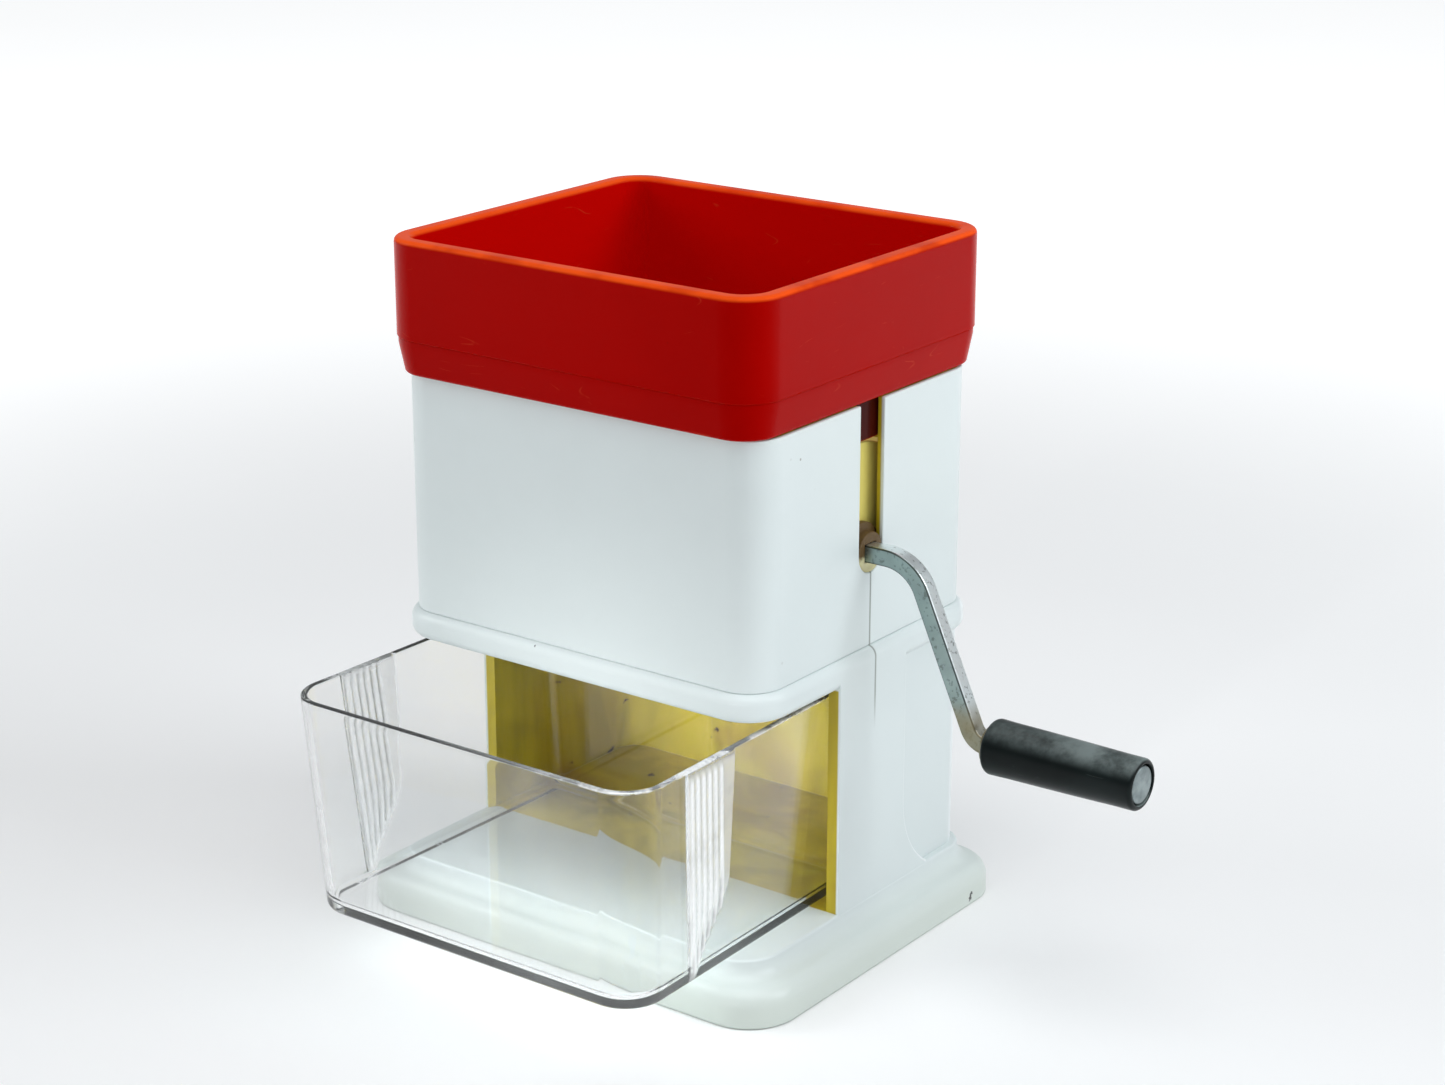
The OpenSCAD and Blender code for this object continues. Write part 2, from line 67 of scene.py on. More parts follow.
def half_sizes(node):
    """Half width and half depth of a node that is centred on the origin, then its lowest and highest z."""
    low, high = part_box(node)
    return high.x, high.y, low.z, high.z


# ------------------------------------------------------------
# Mesh helpers
# ------------------------------------------------------------


def arc(centre, radius, start, end, steps):
    """Points (u, v) on an arc, with angles in degrees."""
    points = []
    for i in range(steps + 1):
        angle = math.radians(start + (end - start) * i / steps)
        points.append((centre[0] + radius * math.cos(angle), centre[1] + radius * math.sin(angle)))
    return points


def plan_ring(half_w, front, rear, front_r, rear_r, z):
    """Rounded rectangle seen from above, anticlockwise; front and rear are distances from the origin."""
    corners = (
        (half_w - rear_r, rear - rear_r, rear_r, 0),
        (rear_r - half_w, rear - rear_r, rear_r, 90),
        (front_r - half_w, front_r - front, front_r, 180),
        (half_w - front_r, front_r - front, front_r, 270),
    )
    ring = []
    for x, y, r, start in corners:
        ring += [Vector((px, py, z)) for px, py in arc((x, y), r, start, start + 90, CORNER_STEPS)]
    return ring


def even_ring(half_w, half_d, r, z):
    """Rounded rectangle with the same radius at all its corners."""
    return plan_ring(half_w, half_d, half_d, r, r, z)


def grown_ring(sizes, more, z):
    """Rounded rectangle with its half sizes and its corner radius all larger by more."""
    half_w, half_d, r = sizes
    return even_ring(half_w + more, half_d + more, r + more, z)


def round_ring(x, r, axis_z, turns):
    """Circle about an axis along X through y = 0."""
    ring = []
    for i in range(turns):
        angle = 2 * math.pi * i / turns
        ring.append(Vector((x, r * math.cos(angle), axis_z + r * math.sin(angle))))
    return ring


def smooth(value, low_edge, high_edge):
    """Smooth step from 0 at the low edge to 1 at the high edge."""
    t = max(0.0, min(1.0, (value - low_edge) / (high_edge - low_edge)))
    return t * t * (3 - 2 * t)


def new_object(name, bm):
    """Turns a bmesh into an object in the scene."""
    mesh = bpy.data.meshes.new(name)
    bm.to_mesh(mesh)
    bm.free()
    made = bpy.data.objects.new(name, mesh)
    bpy.context.scene.collection.objects.link(made)
    return made


def link(name, bm, material, body):
    """Turns a bmesh into a smooth-shaded piece that rides on a body."""
    bmesh.ops.recalc_face_normals(bm, faces=bm.faces)
    return dress(new_object(name, bm), material, body)


def dress(piece, material, body):
    """Gives a piece its material, shading and body."""
    piece.data.materials.clear()
    piece.data.materials.append(material)
    shade(piece)
    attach(piece, body)
    return piece


def shade(piece):
    """Smooth shading with sharp edges kept, and normals that favour the large faces."""
    mesh = piece.data
    mesh.polygons.foreach_set("use_smooth", [True] * len(mesh.polygons))
    mesh.set_sharp_from_angle(angle=math.radians(SHARP_ANGLE))
    even = piece.modifiers.new("even", "WEIGHTED_NORMAL")
    even.keep_sharp = True


def loft(bm, rings, closed=False, cap_first=False, cap_last=False):
    """Skin over rings of equally many points. Gives back the rings' vertices."""
    loops = [[bm.verts.new(point) for point in ring] for ring in rings]
    pairs = list(zip(loops, loops[1:]))
    if closed:
        pairs.append((loops[-1], loops[0]))
    for low, high in pairs:
        count = len(low)
        for i in range(count):
            j = (i + 1) % count
            bm.faces.new((low[i], low[j], high[j], high[i]))
    if cap_first:
        bm.faces.new(list(reversed(loops[0])))
    if cap_last:
        bm.faces.new(loops[-1])
    return loops


def prism(bm, outline, place, depth):
    """Closed prism: place turns an outline point and a depth into a position."""
    near = [bm.verts.new(place(u, v, depth[0])) for u, v in outline]
    far = [bm.verts.new(place(u, v, depth[1])) for u, v in outline]
    bm.faces.new(list(reversed(near)))
    bm.faces.new(far)
    count = len(outline)
    for i in range(count):
        j = (i + 1) % count
        bm.faces.new((near[i], near[j], far[j], far[i]))


def lathe(bm, profile, axis_z, turns):
    """Solid turned about an axis along X through y = 0; profile points are (x, radius)."""
    loft(bm, [round_ring(x, r, axis_z, turns) for x, r in profile], cap_first=True, cap_last=True)


def round_edges(node, width, segments=3):
    """Bevel on a CAD node's edges, as modifiers, with even normals."""
    piece = frame["nodes"][node]
    weld = piece.modifiers.new("weld", "WELD")
    weld.merge_threshold = TOUCH
    bevel = piece.modifiers.new("edges", "BEVEL")
    bevel.width = width
    bevel.segments = segments
    bevel.limit_method = "ANGLE"
    bevel.angle_limit = math.radians(SHARP_ANGLE)
    even = piece.modifiers.new("even", "WEIGHTED_NORMAL")
    even.keep_sharp = False


# ------------------------------------------------------------
# Colours, linear
# ------------------------------------------------------------

# The ochres (first two and last) are painted in for warm bounced light and shade inside hollows; the brown
# and the spots are real stain.
OCHRE_SHADE_PALE = (0.64, 0.50, 0.02)
OCHRE_SHADE_DEEP = (0.38, 0.29, 0.008)
STAIN_BROWN = (0.30, 0.16, 0.02)
STAIN_SPOT = (0.08, 0.035, 0.006)
OCHRE_SHADE_FADED = (0.92, 0.82, 0.24)

WHITE = (0.70, 0.765, 0.765)
# Painted highlight for upright rear-facing edges.
WHITE_EDGE_HIGHLIGHT = (0.86, 0.90, 0.91)
WHITE_SPECK = (0.16, 0.13, 0.09)
SEAM_DIRT = (0.20, 0.22, 0.19)
CHIP = (0.02, 0.02, 0.018)

RED_LIGHT = (0.37, 0.0006, 0.0003)
RED_DARK = (0.335, 0.0004, 0.0002)
# Lighter red painted onto the inner walls in place of light.
RED_INSIDE_LIT = (0.62, 0.0012, 0.0006)
RED_SCRATCH = (0.72, 0.10, 0.04)
RED_SPECK = (0.09, 0.01, 0.005)
# Painted highlight for the rim.
RED_RIM_HIGHLIGHT = (0.86, 0.085, 0.008)
# Painted shade for the skirt.
RED_SKIRT_SHADE = (0.03, 0.003, 0.002)
RED_GLOSS = (1.0, 0.05, 0.02, 1)
RED_SHEEN = (1.0, 0.03, 0.0, 1)

BUSH_LIGHT = (0.66, 0.62, 0.36)
BUSH_DARK = (0.48, 0.42, 0.18)
# Painted shadow for the bush's upper half.
BUSH_SHADOW = (0.10, 0.055, 0.012)

CLEAR_LIGHT = (0.995, 1.0, 1.0)
CLEAR_DARK = (0.975, 0.985, 0.99)
CLEAR_SHADOW = (0.95, 0.97, 0.97, 1)

# The next five are painted: shade on the bar's sides, highlight on its faces, a dark line on its edges.
PLATE_SIDE_SHADE_PALE = (0.36, 0.455, 0.44)
PLATE_SIDE_SHADE_DEEP = (0.23, 0.29, 0.285)
PLATE_FACE_HIGHLIGHT_PALE = (0.96, 1.0, 1.0)
PLATE_FACE_HIGHLIGHT_DEEP = (0.80, 0.87, 0.88)
PLATE_EDGE_SHADE = (0.03, 0.035, 0.035)
PLATE_PIT = (0.09, 0.11, 0.10)
PLATE_BROWN_TINT = (0.30, 0.25, 0.14)
PLATE_RUST = (0.13, 0.07, 0.035)
PLATE_DIRT = (0.12, 0.09, 0.05)
RIVET_LIGHT = (0.34, 0.395, 0.40)
RIVET_DARK = (0.21, 0.25, 0.255)
BLADE_STEEL = (0.62, 0.62, 0.60)
SCREW_STEEL = (0.50, 0.50, 0.50)

BLACK_DEEP = (0.001, 0.004, 0.004)
BLACK_PALE = (0.004, 0.009, 0.009)
# Painted highlight for the grip's upper side.
BLACK_TOP_HIGHLIGHT = (0.20, 0.245, 0.24)
BLACK_SCRATCH = (0.16, 0.17, 0.17)

PAPER_LIGHT = (0.93, 0.93, 0.93)
PAPER_DARK = (0.91, 0.91, 0.91)

# Roughness ranges. On the opaque materials each one lies wholly at or above 0.28, or wholly below 0.27,
# because a denoiser leaves patches where a surface crosses from one to the other.
WHITE_ROUGH = (0.30, 0.50)
RED_ROUGH = (0.12, 0.26)
SHADED_STAINED_ROUGH = (0.4, 0.6)
BUSH_ROUGH = (0.4, 0.65)
PLATED_ROUGH = (0.29, 0.62)
RIVET_ROUGH = (0.4, 0.65)
BLACK_ROUGH = (0.29, 0.5)
CLEAR_ROUGH = (0.01, 0.22)
PAD_ROUGH = 0.16

# ------------------------------------------------------------
# Materials
# ------------------------------------------------------------


def opaque(colour):
    """Colour or socket in the form that a colour socket takes."""
    return (*colour, 1) if isinstance(colour, tuple) else colour


class Surface:
    """A material with a few shortcuts for its nodes."""

    def __init__(self, name, roughness=0.4, metallic=0.0):
        self.material = bpy.data.materials.new(name)
        self.material.use_nodes = True
        self.tree = self.material.node_tree
        self.shader = self.tree.nodes["Principled BSDF"]
        self.shader.inputs["Metallic"].default_value = metallic
        self.shader.inputs["Roughness"].default_value = roughness
        self.place = self.tree.nodes.new("ShaderNodeTexCoord").outputs["Object"]

    def add(self, kind, **values):
        node = self.tree.nodes.new(kind)
        for key, value in values.items():
            setattr(node, key, value)
        return node

    def feed(self, socket, value):
        if isinstance(value, bpy.types.NodeSocket):
            self.tree.links.new(value, socket)
        else:
            socket.default_value = value

    def stretched(self, scale=(1, 1, 1), turn=(0, 0, 0)):
        """Object coordinates scaled and turned, for grain and scratches."""
        node = self.add("ShaderNodeMapping")
        self.feed(node.inputs["Vector"], self.place)
        node.inputs["Scale"].default_value = scale
        node.inputs["Rotation"].default_value = turn
        return node.outputs["Vector"]

    def noise(self, scale, detail=3.0, roughness=0.5, distortion=0.0, vector=None):
        node = self.add("ShaderNodeTexNoise")
        self.feed(node.inputs["Vector"], vector or self.place)
        node.inputs["Scale"].default_value = scale
        node.inputs["Detail"].default_value = detail
        node.inputs["Roughness"].default_value = roughness
        node.inputs["Distortion"].default_value = distortion
        return node.outputs["Fac"]

    def cells(self, scale):
        """Distance to the nearest of many scattered points."""
        node = self.add("ShaderNodeTexVoronoi")
        self.feed(node.inputs["Vector"], self.place)
        node.inputs["Scale"].default_value = scale
        return node.outputs["Distance"]

    def fit(self, value, low, high, to_low=0.0, to_high=1.0):
        """Smooth step from to_low at low to to_high at high."""
        node = self.add("ShaderNodeMapRange", clamp=True, interpolation_type="SMOOTHSTEP")
        self.feed(node.inputs["Value"], value)
        node.inputs["From Min"].default_value = low
        node.inputs["From Max"].default_value = high
        node.inputs["To Min"].default_value = to_low
        node.inputs["To Max"].default_value = to_high
        return node.outputs["Result"]

    def maths(self, operation, a, b=0.0):
        node = self.add("ShaderNodeMath", operation=operation)
        self.feed(node.inputs[0], a)
        self.feed(node.inputs[1], b)
        return node.outputs["Value"]

    def times(self, a, b):
        return self.maths("MULTIPLY", a, b)

    def blend(self, factor, a, b):
        """Mix of two colours, each a tuple or a socket."""
        node = self.add("ShaderNodeMix", data_type="RGBA")
        self.feed(node.inputs["Factor"], factor)
        self.feed(node.inputs[6], opaque(a))
        self.feed(node.inputs[7], opaque(b))
        return node.outputs[2]

    def axis(self, name):
        node = self.add("ShaderNodeSeparateXYZ")
        self.feed(node.inputs["Vector"], self.place)
        return node.outputs[name]

    def facing(self, name):
        """One part of the surface's normal, in the piece's own axes."""
        node = self.add("ShaderNodeSeparateXYZ")
        self.feed(node.inputs["Vector"], self.add("ShaderNodeTexCoord").outputs["Normal"])
        return node.outputs[name]

    def relief(self, height, strength, distance, normal=None):
        node = self.add("ShaderNodeBump")
        node.inputs["Strength"].default_value = strength
        node.inputs["Distance"].default_value = distance
        self.feed(node.inputs["Height"], height)
        if normal is not None:
            self.feed(node.inputs["Normal"], normal)
        return node.outputs["Normal"]

    def inside(self, half_w, half_d, corner_r, front=None, soft=0.3 * MM):
        """1 inside a rounded rectangle seen from above, 0 outside it; front cuts it off at a y."""
        past = [self.maths("MAXIMUM", self.maths("SUBTRACT", self.maths("ABSOLUTE", self.axis(name)),
                                                 half - corner_r), 0.0)
                for name, half in (("X", half_w), ("Y", half_d))]
        squares = self.maths("ADD", self.times(past[0], past[0]), self.times(past[1], past[1]))
        mask = self.fit(self.maths("SQRT", squares), corner_r - soft, corner_r + soft, 1.0, 0.0)
        if front is not None:
            mask = self.times(mask, self.fit(self.axis("Y"), front - soft, front + soft))
        return mask

    def before(self, front, side, top, soft=0.25 * MM):
        """1 in front of a y, within an x either side and below a z, 0 elsewhere."""
        beside = self.fit(self.maths("ABSOLUTE", self.axis("X")), side - soft, side + soft, 1.0, 0.0)
        ahead = self.times(self.fit(self.axis("Y"), front - soft, front + soft, 1.0, 0.0),
                           self.fit(self.axis("Z"), top - soft, top + soft, 1.0, 0.0))
        return self.times(beside, ahead)

    def facing_in(self):
        """1 on walls that face the upright axis, 0 on walls that face away from it."""
        flat = self.add("ShaderNodeVectorMath", operation="MULTIPLY")
        self.feed(flat.inputs[0], self.place)
        flat.inputs[1].default_value = (1.0, 1.0, 0.0)
        outward = self.add("ShaderNodeVectorMath", operation="DOT_PRODUCT")
        self.feed(outward.inputs[0], flat.outputs["Vector"])
        self.feed(outward.inputs[1], self.add("ShaderNodeTexCoord").outputs["Normal"])
        return self.fit(outward.outputs["Value"], -20 * MM, -5 * MM, 1.0, 0.0)

    def near(self, place, radius):
        """Ragged spot round a place, 0.9 at its middle and 0 outside it."""
        away = self.add("ShaderNodeVectorMath", operation="DISTANCE")
        self.feed(away.inputs[0], self.place)
        away.inputs[1].default_value = place
        wobble = self.fit(self.noise(1400, 3.0), 0.3, 0.7, -radius * 0.5, radius * 0.5)
        return self.fit(self.maths("ADD", away.outputs["Value"], wobble), radius * 0.7, radius, 0.9, 0.0)

    def scratches(self, scale, turn, width):
        """Thin broken lines, 1 on a line and 0 elsewhere."""
        lines = self.noise(scale, 0.0, 0.5, 0.2, self.stretched((1, 1, 4), turn))
        thin = self.fit(self.maths("ABSOLUTE", self.maths("SUBTRACT", lines, 0.5)), 0.0, width, 1.0, 0.0)
        patches = self.fit(self.noise(scale * 3.0, 2.0), 0.58, 0.68)
        return self.times(thin, patches)

    def mottle(self, scale, detail, low, high, a, b, roughness=0.5):
        """Noise that runs from one colour to another."""
        return self.blend(self.fit(self.noise(scale, detail, roughness), low, high), a, b)

    def finish(self, colour=None, roughness=None, normal=None):
        if colour is not None:
            self.feed(self.shader.inputs["Base Color"], opaque(colour))
        if roughness is not None:
            self.feed(self.shader.inputs["Roughness"], roughness)
        if normal is not None:
            self.feed(self.shader.inputs["Normal"], normal)
        return self.material


def shade_and_stain_colour(s):
    """Ochre painted shade, with upright darker runs, brown stain patches low down and a few brown spots."""
    runs = s.noise(30, 4.0, 0.6, 0.6, s.stretched((1, 1, 0.22)))
    # Painted warm shade and bounced light, darker in upright runs.
    tone = s.blend(s.fit(runs, 0.38, 0.64), OCHRE_SHADE_PALE, OCHRE_SHADE_DEEP)
    low = s.fit(s.axis("Z"), 18 * MM, 44 * MM, 1.0, 0.0)
    patches = s.times(low, s.fit(s.noise(34, 4.0, 0.65, 0.5), 0.50, 0.70, 0.0, 0.65))
    tone = s.blend(patches, tone, STAIN_BROWN)
    spots = s.fit(s.noise(160, 3.0, 0.6), 0.68, 0.74)
    return s.blend(spots, tone, STAIN_SPOT)


def white_plastic(name, hollow=None, seam_z=None, marks=(), edge_light=False, edge_shade=None):
    """Scuffed white moulding with painted shade low down and ochre painted shade and stain in its hollow.

    The hollow is half sizes, a corner radius and, if it doesn't reach the front, where it starts. seam_z is
    where the dark line at y = 0 fades out, marks are small dark chips as (place, radius), edge_light paints
    a highlight onto the upright rear-facing edges, and the last argument is a y, an x and a z: what lies in
    front of, within and below them gets the ochre painted shade as well.
    """
    s = Surface(name, roughness=0.32)
    shaded = tuple(c * 0.97 for c in WHITE)
    warm = (WHITE[0] * 0.995, WHITE[1] * 0.985, WHITE[2] * 0.96)
    low_shade = (WHITE[0] * 0.90, WHITE[1] * 0.90, WHITE[2] * 0.82)
    tone = s.mottle(16, 4.0, 0.35, 0.7, WHITE, shaded, 0.6)
    tone = s.mottle(7, 2.0, 0.5, 0.75, tone, warm)
    # Darker and yellower towards the floor: painted shade.
    tone = s.blend(s.fit(s.axis("Z"), 4 * MM, 17 * MM, 0.8, 0.0), tone, low_shade)
    specks = s.times(s.fit(s.cells(150), 0.05, 0.075, 1.0, 0.0), s.fit(s.noise(30, 1.0), 0.62, 0.68))
    tone = s.blend(s.times(specks, 0.6), tone, WHITE_SPECK)
    if seam_z is not None:
        line = s.fit(s.maths("ABSOLUTE", s.axis("Y")), 0.22 * MM, 0.5 * MM, 0.75, 0.0)
        tone = s.blend(s.times(line, s.fit(s.axis("Z"), seam_z, seam_z + 14 * MM)), tone, SEAM_DIRT)
    # Painted highlight along the upright rear-facing edges.
    if edge_light:
        rearward = s.facing("Y")
        strip = s.times(s.fit(rearward, 0.15, 0.4), s.fit(rearward, 0.75, 0.95, 1.0, 0.0))
        tone = s.blend(s.times(strip, 0.8), tone, WHITE_EDGE_HIGHLIGHT)
    for place, radius in marks:
        tone = s.blend(s.near(place, radius), tone, CHIP)
    # Ochre painted shade inside the hollow and on the cheeks' front edges.
    if hollow:
        hollow_shade = s.inside(*hollow)
        if edge_shade:
            hollow_shade = s.maths("MAXIMUM", hollow_shade, s.before(*edge_shade))
        tone = s.blend(hollow_shade, tone, shade_and_stain_colour(s))
    lines = s.scratches(30, (0.5, 0.3, 0.2), 0.008)
    rough = s.fit(s.maths("ADD", s.noise(60, 3.0), s.times(lines, 0.5)), 0.3, 1.0, *WHITE_ROUGH)
    grain = s.relief(s.noise(900, 2.0), 0.05, 0.1 * MM)
    waves = s.relief(s.noise(20, 1.0), 0.06, 0.5 * MM, grain)
    return s.finish(tone, rough, s.relief(lines, 0.2, 0.02 * MM, waves))


def red_plastic(skirt_z, rim_z):
    """Glossy red moulding; painted shade outside below skirt_z, painted highlight above rim_z, painted light
    inside.
    """
    s = Surface("red_plastic", roughness=0.22)
    tone = s.mottle(14, 3.0, 0.35, 0.7, RED_LIGHT, RED_DARK)
    # Painted light: the inner walls are a lighter red.
    within = s.facing_in()
    tone = s.blend(within, tone, RED_INSIDE_LIT)
    lines = s.scratches(44, (0.9, 0.2, 0.5), 0.012)
    tone = s.blend(s.times(lines, 0.22), tone, RED_SCRATCH)
    specks = s.times(s.fit(s.cells(120), 0.05, 0.08, 1.0, 0.0), s.fit(s.noise(26, 1.0), 0.58, 0.64))
    tone = s.blend(s.times(specks, 0.6), tone, RED_SPECK)
    # Painted highlight along the top of the rim.
    rim_highlight = s.times(s.fit(s.axis("Z"), rim_z - 0.5 * MM, rim_z + 0.5 * MM),
                     s.fit(s.noise(60, 3.0), 0.3, 0.6, 0.55, 1.0))
    tone = s.blend(rim_highlight, tone, RED_RIM_HIGHLIGHT)
    # Painted shade on the outside of the skirt, below the collar.
    skirt_shade = s.times(s.fit(s.axis("Z"), skirt_z - 0.4 * MM, skirt_z, 1.0, 0.0),
                    s.maths("SUBTRACT", 1.0, within))
    tone = s.blend(skirt_shade, tone, RED_SKIRT_SHADE)
    rough = s.fit(s.maths("ADD", s.noise(50, 3.0), s.times(lines, 0.6)), 0.3, 1.1, *RED_ROUGH)
    waves = s.relief(s.noise(30, 2.0), 0.07, 0.5 * MM)
    s.shader.inputs["Specular IOR Level"].default_value = 0.06
    s.shader.inputs["Specular Tint"].default_value = RED_GLOSS
    s.shader.inputs["Sheen Weight"].default_value = 0.6
    s.shader.inputs["Sheen Roughness"].default_value = 0.35
    s.shader.inputs["Sheen Tint"].default_value = RED_SHEEN
    return s.finish(tone, rough, s.relief(lines, 0.3, 0.02 * MM, waves))


def stained_plastic():
    """Ivory plastic under a faded ochre painted shade with some stain."""
    s = Surface("stained_plastic", roughness=0.5)
    # Pale ochre painted in for warm bounced light and shade.
    tone = s.blend(0.6, shade_and_stain_colour(s), OCHRE_SHADE_FADED)
    return s.finish(tone, s.fit(s.noise(70, 3.0), 0.3, 0.7, *SHADED_STAINED_ROUGH),
                    s.relief(s.noise(200, 3.0), 0.15, 0.1 * MM))


def bush_plastic():
    """Pale bush with a brown painted shadow over its upper half."""
    s = Surface("bush_plastic", roughness=0.5)
    pale = s.mottle(90, 3.0, 0.3, 0.7, BUSH_LIGHT, BUSH_DARK)
    # Brown painted shadow above the shaft.
    ragged_z = s.maths("ADD", s.axis("Z"), s.fit(s.noise(300, 3.0), 0.3, 0.7, -0.8 * MM, 0.8 * MM))
    tone = s.blend(s.fit(ragged_z, SHAFT_Z - 2.0 * MM, SHAFT_Z + 0.5 * MM), pale, BUSH_SHADOW)
    return s.finish(tone, s.fit(s.noise(120, 3.0), 0.3, 0.7, *BUSH_ROUGH),
                    s.relief(s.noise(400, 3.0), 0.3, 0.1 * MM))


def clear_plastic(rim_z):
    """Clear moulding, milky where the mesh's pad values say so and chipped at one corner of its rim.

    Lamps shine straight through it.
    """
    s = Surface("clear_plastic", roughness=0.03)
    s.shader.inputs["IOR"].default_value = 1.49
    lines = s.scratches(14, (0.2, 0.1, 0.4), 0.004)
    waves = s.relief(s.noise(35, 2.0), 0.06, 0.4 * MM)
    tone = s.mottle(25, 3.0, 0.4, 0.7, CLEAR_LIGHT, CLEAR_DARK)
    pad = s.add("ShaderNodeAttribute", attribute_name="pad").outputs["Fac"]
    milk = s.times(pad, s.fit(s.noise(55, 4.0, 0.6), 0.25, 0.6, 0.45, 0.8))
    smears = s.fit(s.noise(12, 4.0, 0.65, 0.5), 0.45, 0.85, 0.01, 0.09)
    rim = s.times(s.fit(s.axis("Z"), rim_z - 0.9 * MM, rim_z - 0.4 * MM),
                  s.fit(s.axis("X"), 15 * MM, 50 * MM))
    chips = s.times(rim, s.fit(s.noise(110, 4.0, 0.7), 0.38, 0.6, 0.15, 0.6))
    cloudy = s.maths("MAXIMUM", s.maths("MAXIMUM", milk, smears), chips)
    s.feed(s.shader.inputs["Transmission Weight"], s.maths("SUBTRACT", 1.0, cloudy))
    rough = s.fit(s.maths("ADD", s.noise(40, 3.0), s.times(lines, 0.8)), 0.45, 1.2, *CLEAR_ROUGH)
    rough = s.maths("ADD", rough, s.times(pad, PAD_ROUGH))
    s.finish(tone, rough, s.relief(lines, 0.3, 0.02 * MM, waves))
    gap = s.add("ShaderNodeBsdfTransparent")
    gap.inputs["Color"].default_value = CLEAR_SHADOW
    ray = s.add("ShaderNodeLightPath")
    mix = s.add("ShaderNodeMixShader")
    s.feed(mix.inputs[0], ray.outputs["Is Shadow Ray"])
    s.feed(mix.inputs[1], s.shader.outputs["BSDF"])
    s.feed(mix.inputs[2], gap.outputs["BSDF"])
    s.feed(s.tree.nodes["Material Output"].inputs["Surface"], mix.outputs["Shader"])
    return s.material


def plated_steel(end_x):
    """Brushed plated square bar with painted shade on its sides, a painted highlight on its outer and inner
    faces, painted dark lines along its edges and dirt past end_x.
    """
    s = Surface("plated_steel", roughness=0.3, metallic=1.0)
    grain = s.noise(120, 4.0, 0.6, 0.2, s.stretched((0.3, 1, 0.3)))
    worn = s.fit(grain, 0.35, 0.7)
    # Painted shade on the sides that face along Y, painted highlight on the outer and inner faces.
    sideways = s.maths("ABSOLUTE", s.facing("Y"))
    tone = s.blend(s.fit(sideways, 0.2, 0.5), s.blend(worn, PLATE_FACE_HIGHLIGHT_PALE, PLATE_FACE_HIGHLIGHT_DEEP),
                   s.blend(worn, PLATE_SIDE_SHADE_PALE, PLATE_SIDE_SHADE_DEEP))
    # Painted dark line along the rounded edges between the faces.
    edge = s.times(s.fit(sideways, 0.35, 0.6), s.fit(sideways, 0.86, 0.97, 1.0, 0.0))
    tone = s.blend(s.times(edge, 0.85), tone, PLATE_EDGE_SHADE)
    tone = s.blend(s.fit(s.noise(700, 3.0, 0.6), 0.56, 0.66, 0.0, 0.55), tone, PLATE_PIT)
    # Browner towards the grip.
    near_grip = s.times(s.fit(s.axis("Z"), GRIP_Z + 4 * MM, GRIP_Z + 13 * MM, 1.0, 0.0),
                        s.fit(s.noise(60, 3.0), 0.3, 0.6, 0.45, 0.9))
    tone = s.blend(near_grip, tone, PLATE_BROWN_TINT)
    rust = s.times(s.fit(s.noise(85, 5.0, 0.7), 0.56, 0.68), s.fit(s.noise(14, 2.0), 0.48, 0.6))
    tone = s.blend(s.times(rust, 0.75), tone, PLATE_RUST)
    dirt = s.fit(s.axis("X"), end_x + 0.1 * MM, end_x + 0.6 * MM, 0.85, 0.0)
    tone = s.blend(dirt, tone, PLATE_DIRT)
    rough = s.fit(s.maths("ADD", grain, rust), 0.3, 1.3, *PLATED_ROUGH)
    return s.finish(tone, rough, s.relief(s.noise(260, 3.0), 0.12, 0.06 * MM))


def sheet_steel(name, colour, roughness):
    """Plain brushed steel."""
    s = Surface(name, roughness=roughness, metallic=1.0)
    grain = s.noise(400, 3.0, 0.5, 0.0, s.stretched((1, 0.1, 1)))
    tone = s.blend(s.fit(grain, 0.3, 0.7), colour, tuple(c * 0.75 for c in colour))
    return s.finish(tone, s.fit(grain, 0.3, 0.7, roughness, roughness + 0.15),
                    s.relief(grain, 0.08, 0.03 * MM))


def dull_steel():
    """Tarnished face of the grip's rivet."""
    s = Surface("dull_steel", roughness=0.5, metallic=0.8)
    tone = s.mottle(220, 4.0, 0.3, 0.7, RIVET_LIGHT, RIVET_DARK, 0.6)
    pitted = s.noise(300, 3.0)
    return s.finish(tone, s.fit(pitted, 0.3, 0.7, *RIVET_ROUGH), s.relief(pitted, 0.2, 0.05 * MM))


def black_plastic(start_x, end_x):
    """Black grip with a mottled grey highlight painted onto its upper side, stronger towards end_x."""
    s = Surface("black_plastic", roughness=0.25)
    tone = s.mottle(60, 3.0, 0.4, 0.7, BLACK_DEEP, BLACK_PALE)
    s.shader.inputs["Specular IOR Level"].default_value = 0.18
    # Painted highlight on the upward-facing side.
    top_highlight = s.times(s.fit(s.facing("Z"), 0.35, 0.88), s.fit(s.noise(110, 4.0, 0.65), 0.28, 0.68, 0.25, 1.0))
    top_highlight = s.times(top_highlight, s.fit(s.axis("X"), start_x, end_x, 0.45, 1.0))
    tone = s.blend(top_highlight, tone, BLACK_TOP_HIGHLIGHT)
    lines = s.scratches(40, (0.3, 1.1, 0.2), 0.010)
    tone = s.blend(s.times(lines, 0.2), tone, BLACK_SCRATCH)
    rough = s.fit(s.maths("ADD", s.noise(90, 3.0), lines), 0.3, 1.3, *BLACK_ROUGH)
    return s.finish(tone, rough, s.relief(s.noise(500, 2.0), 0.08, 0.08 * MM))


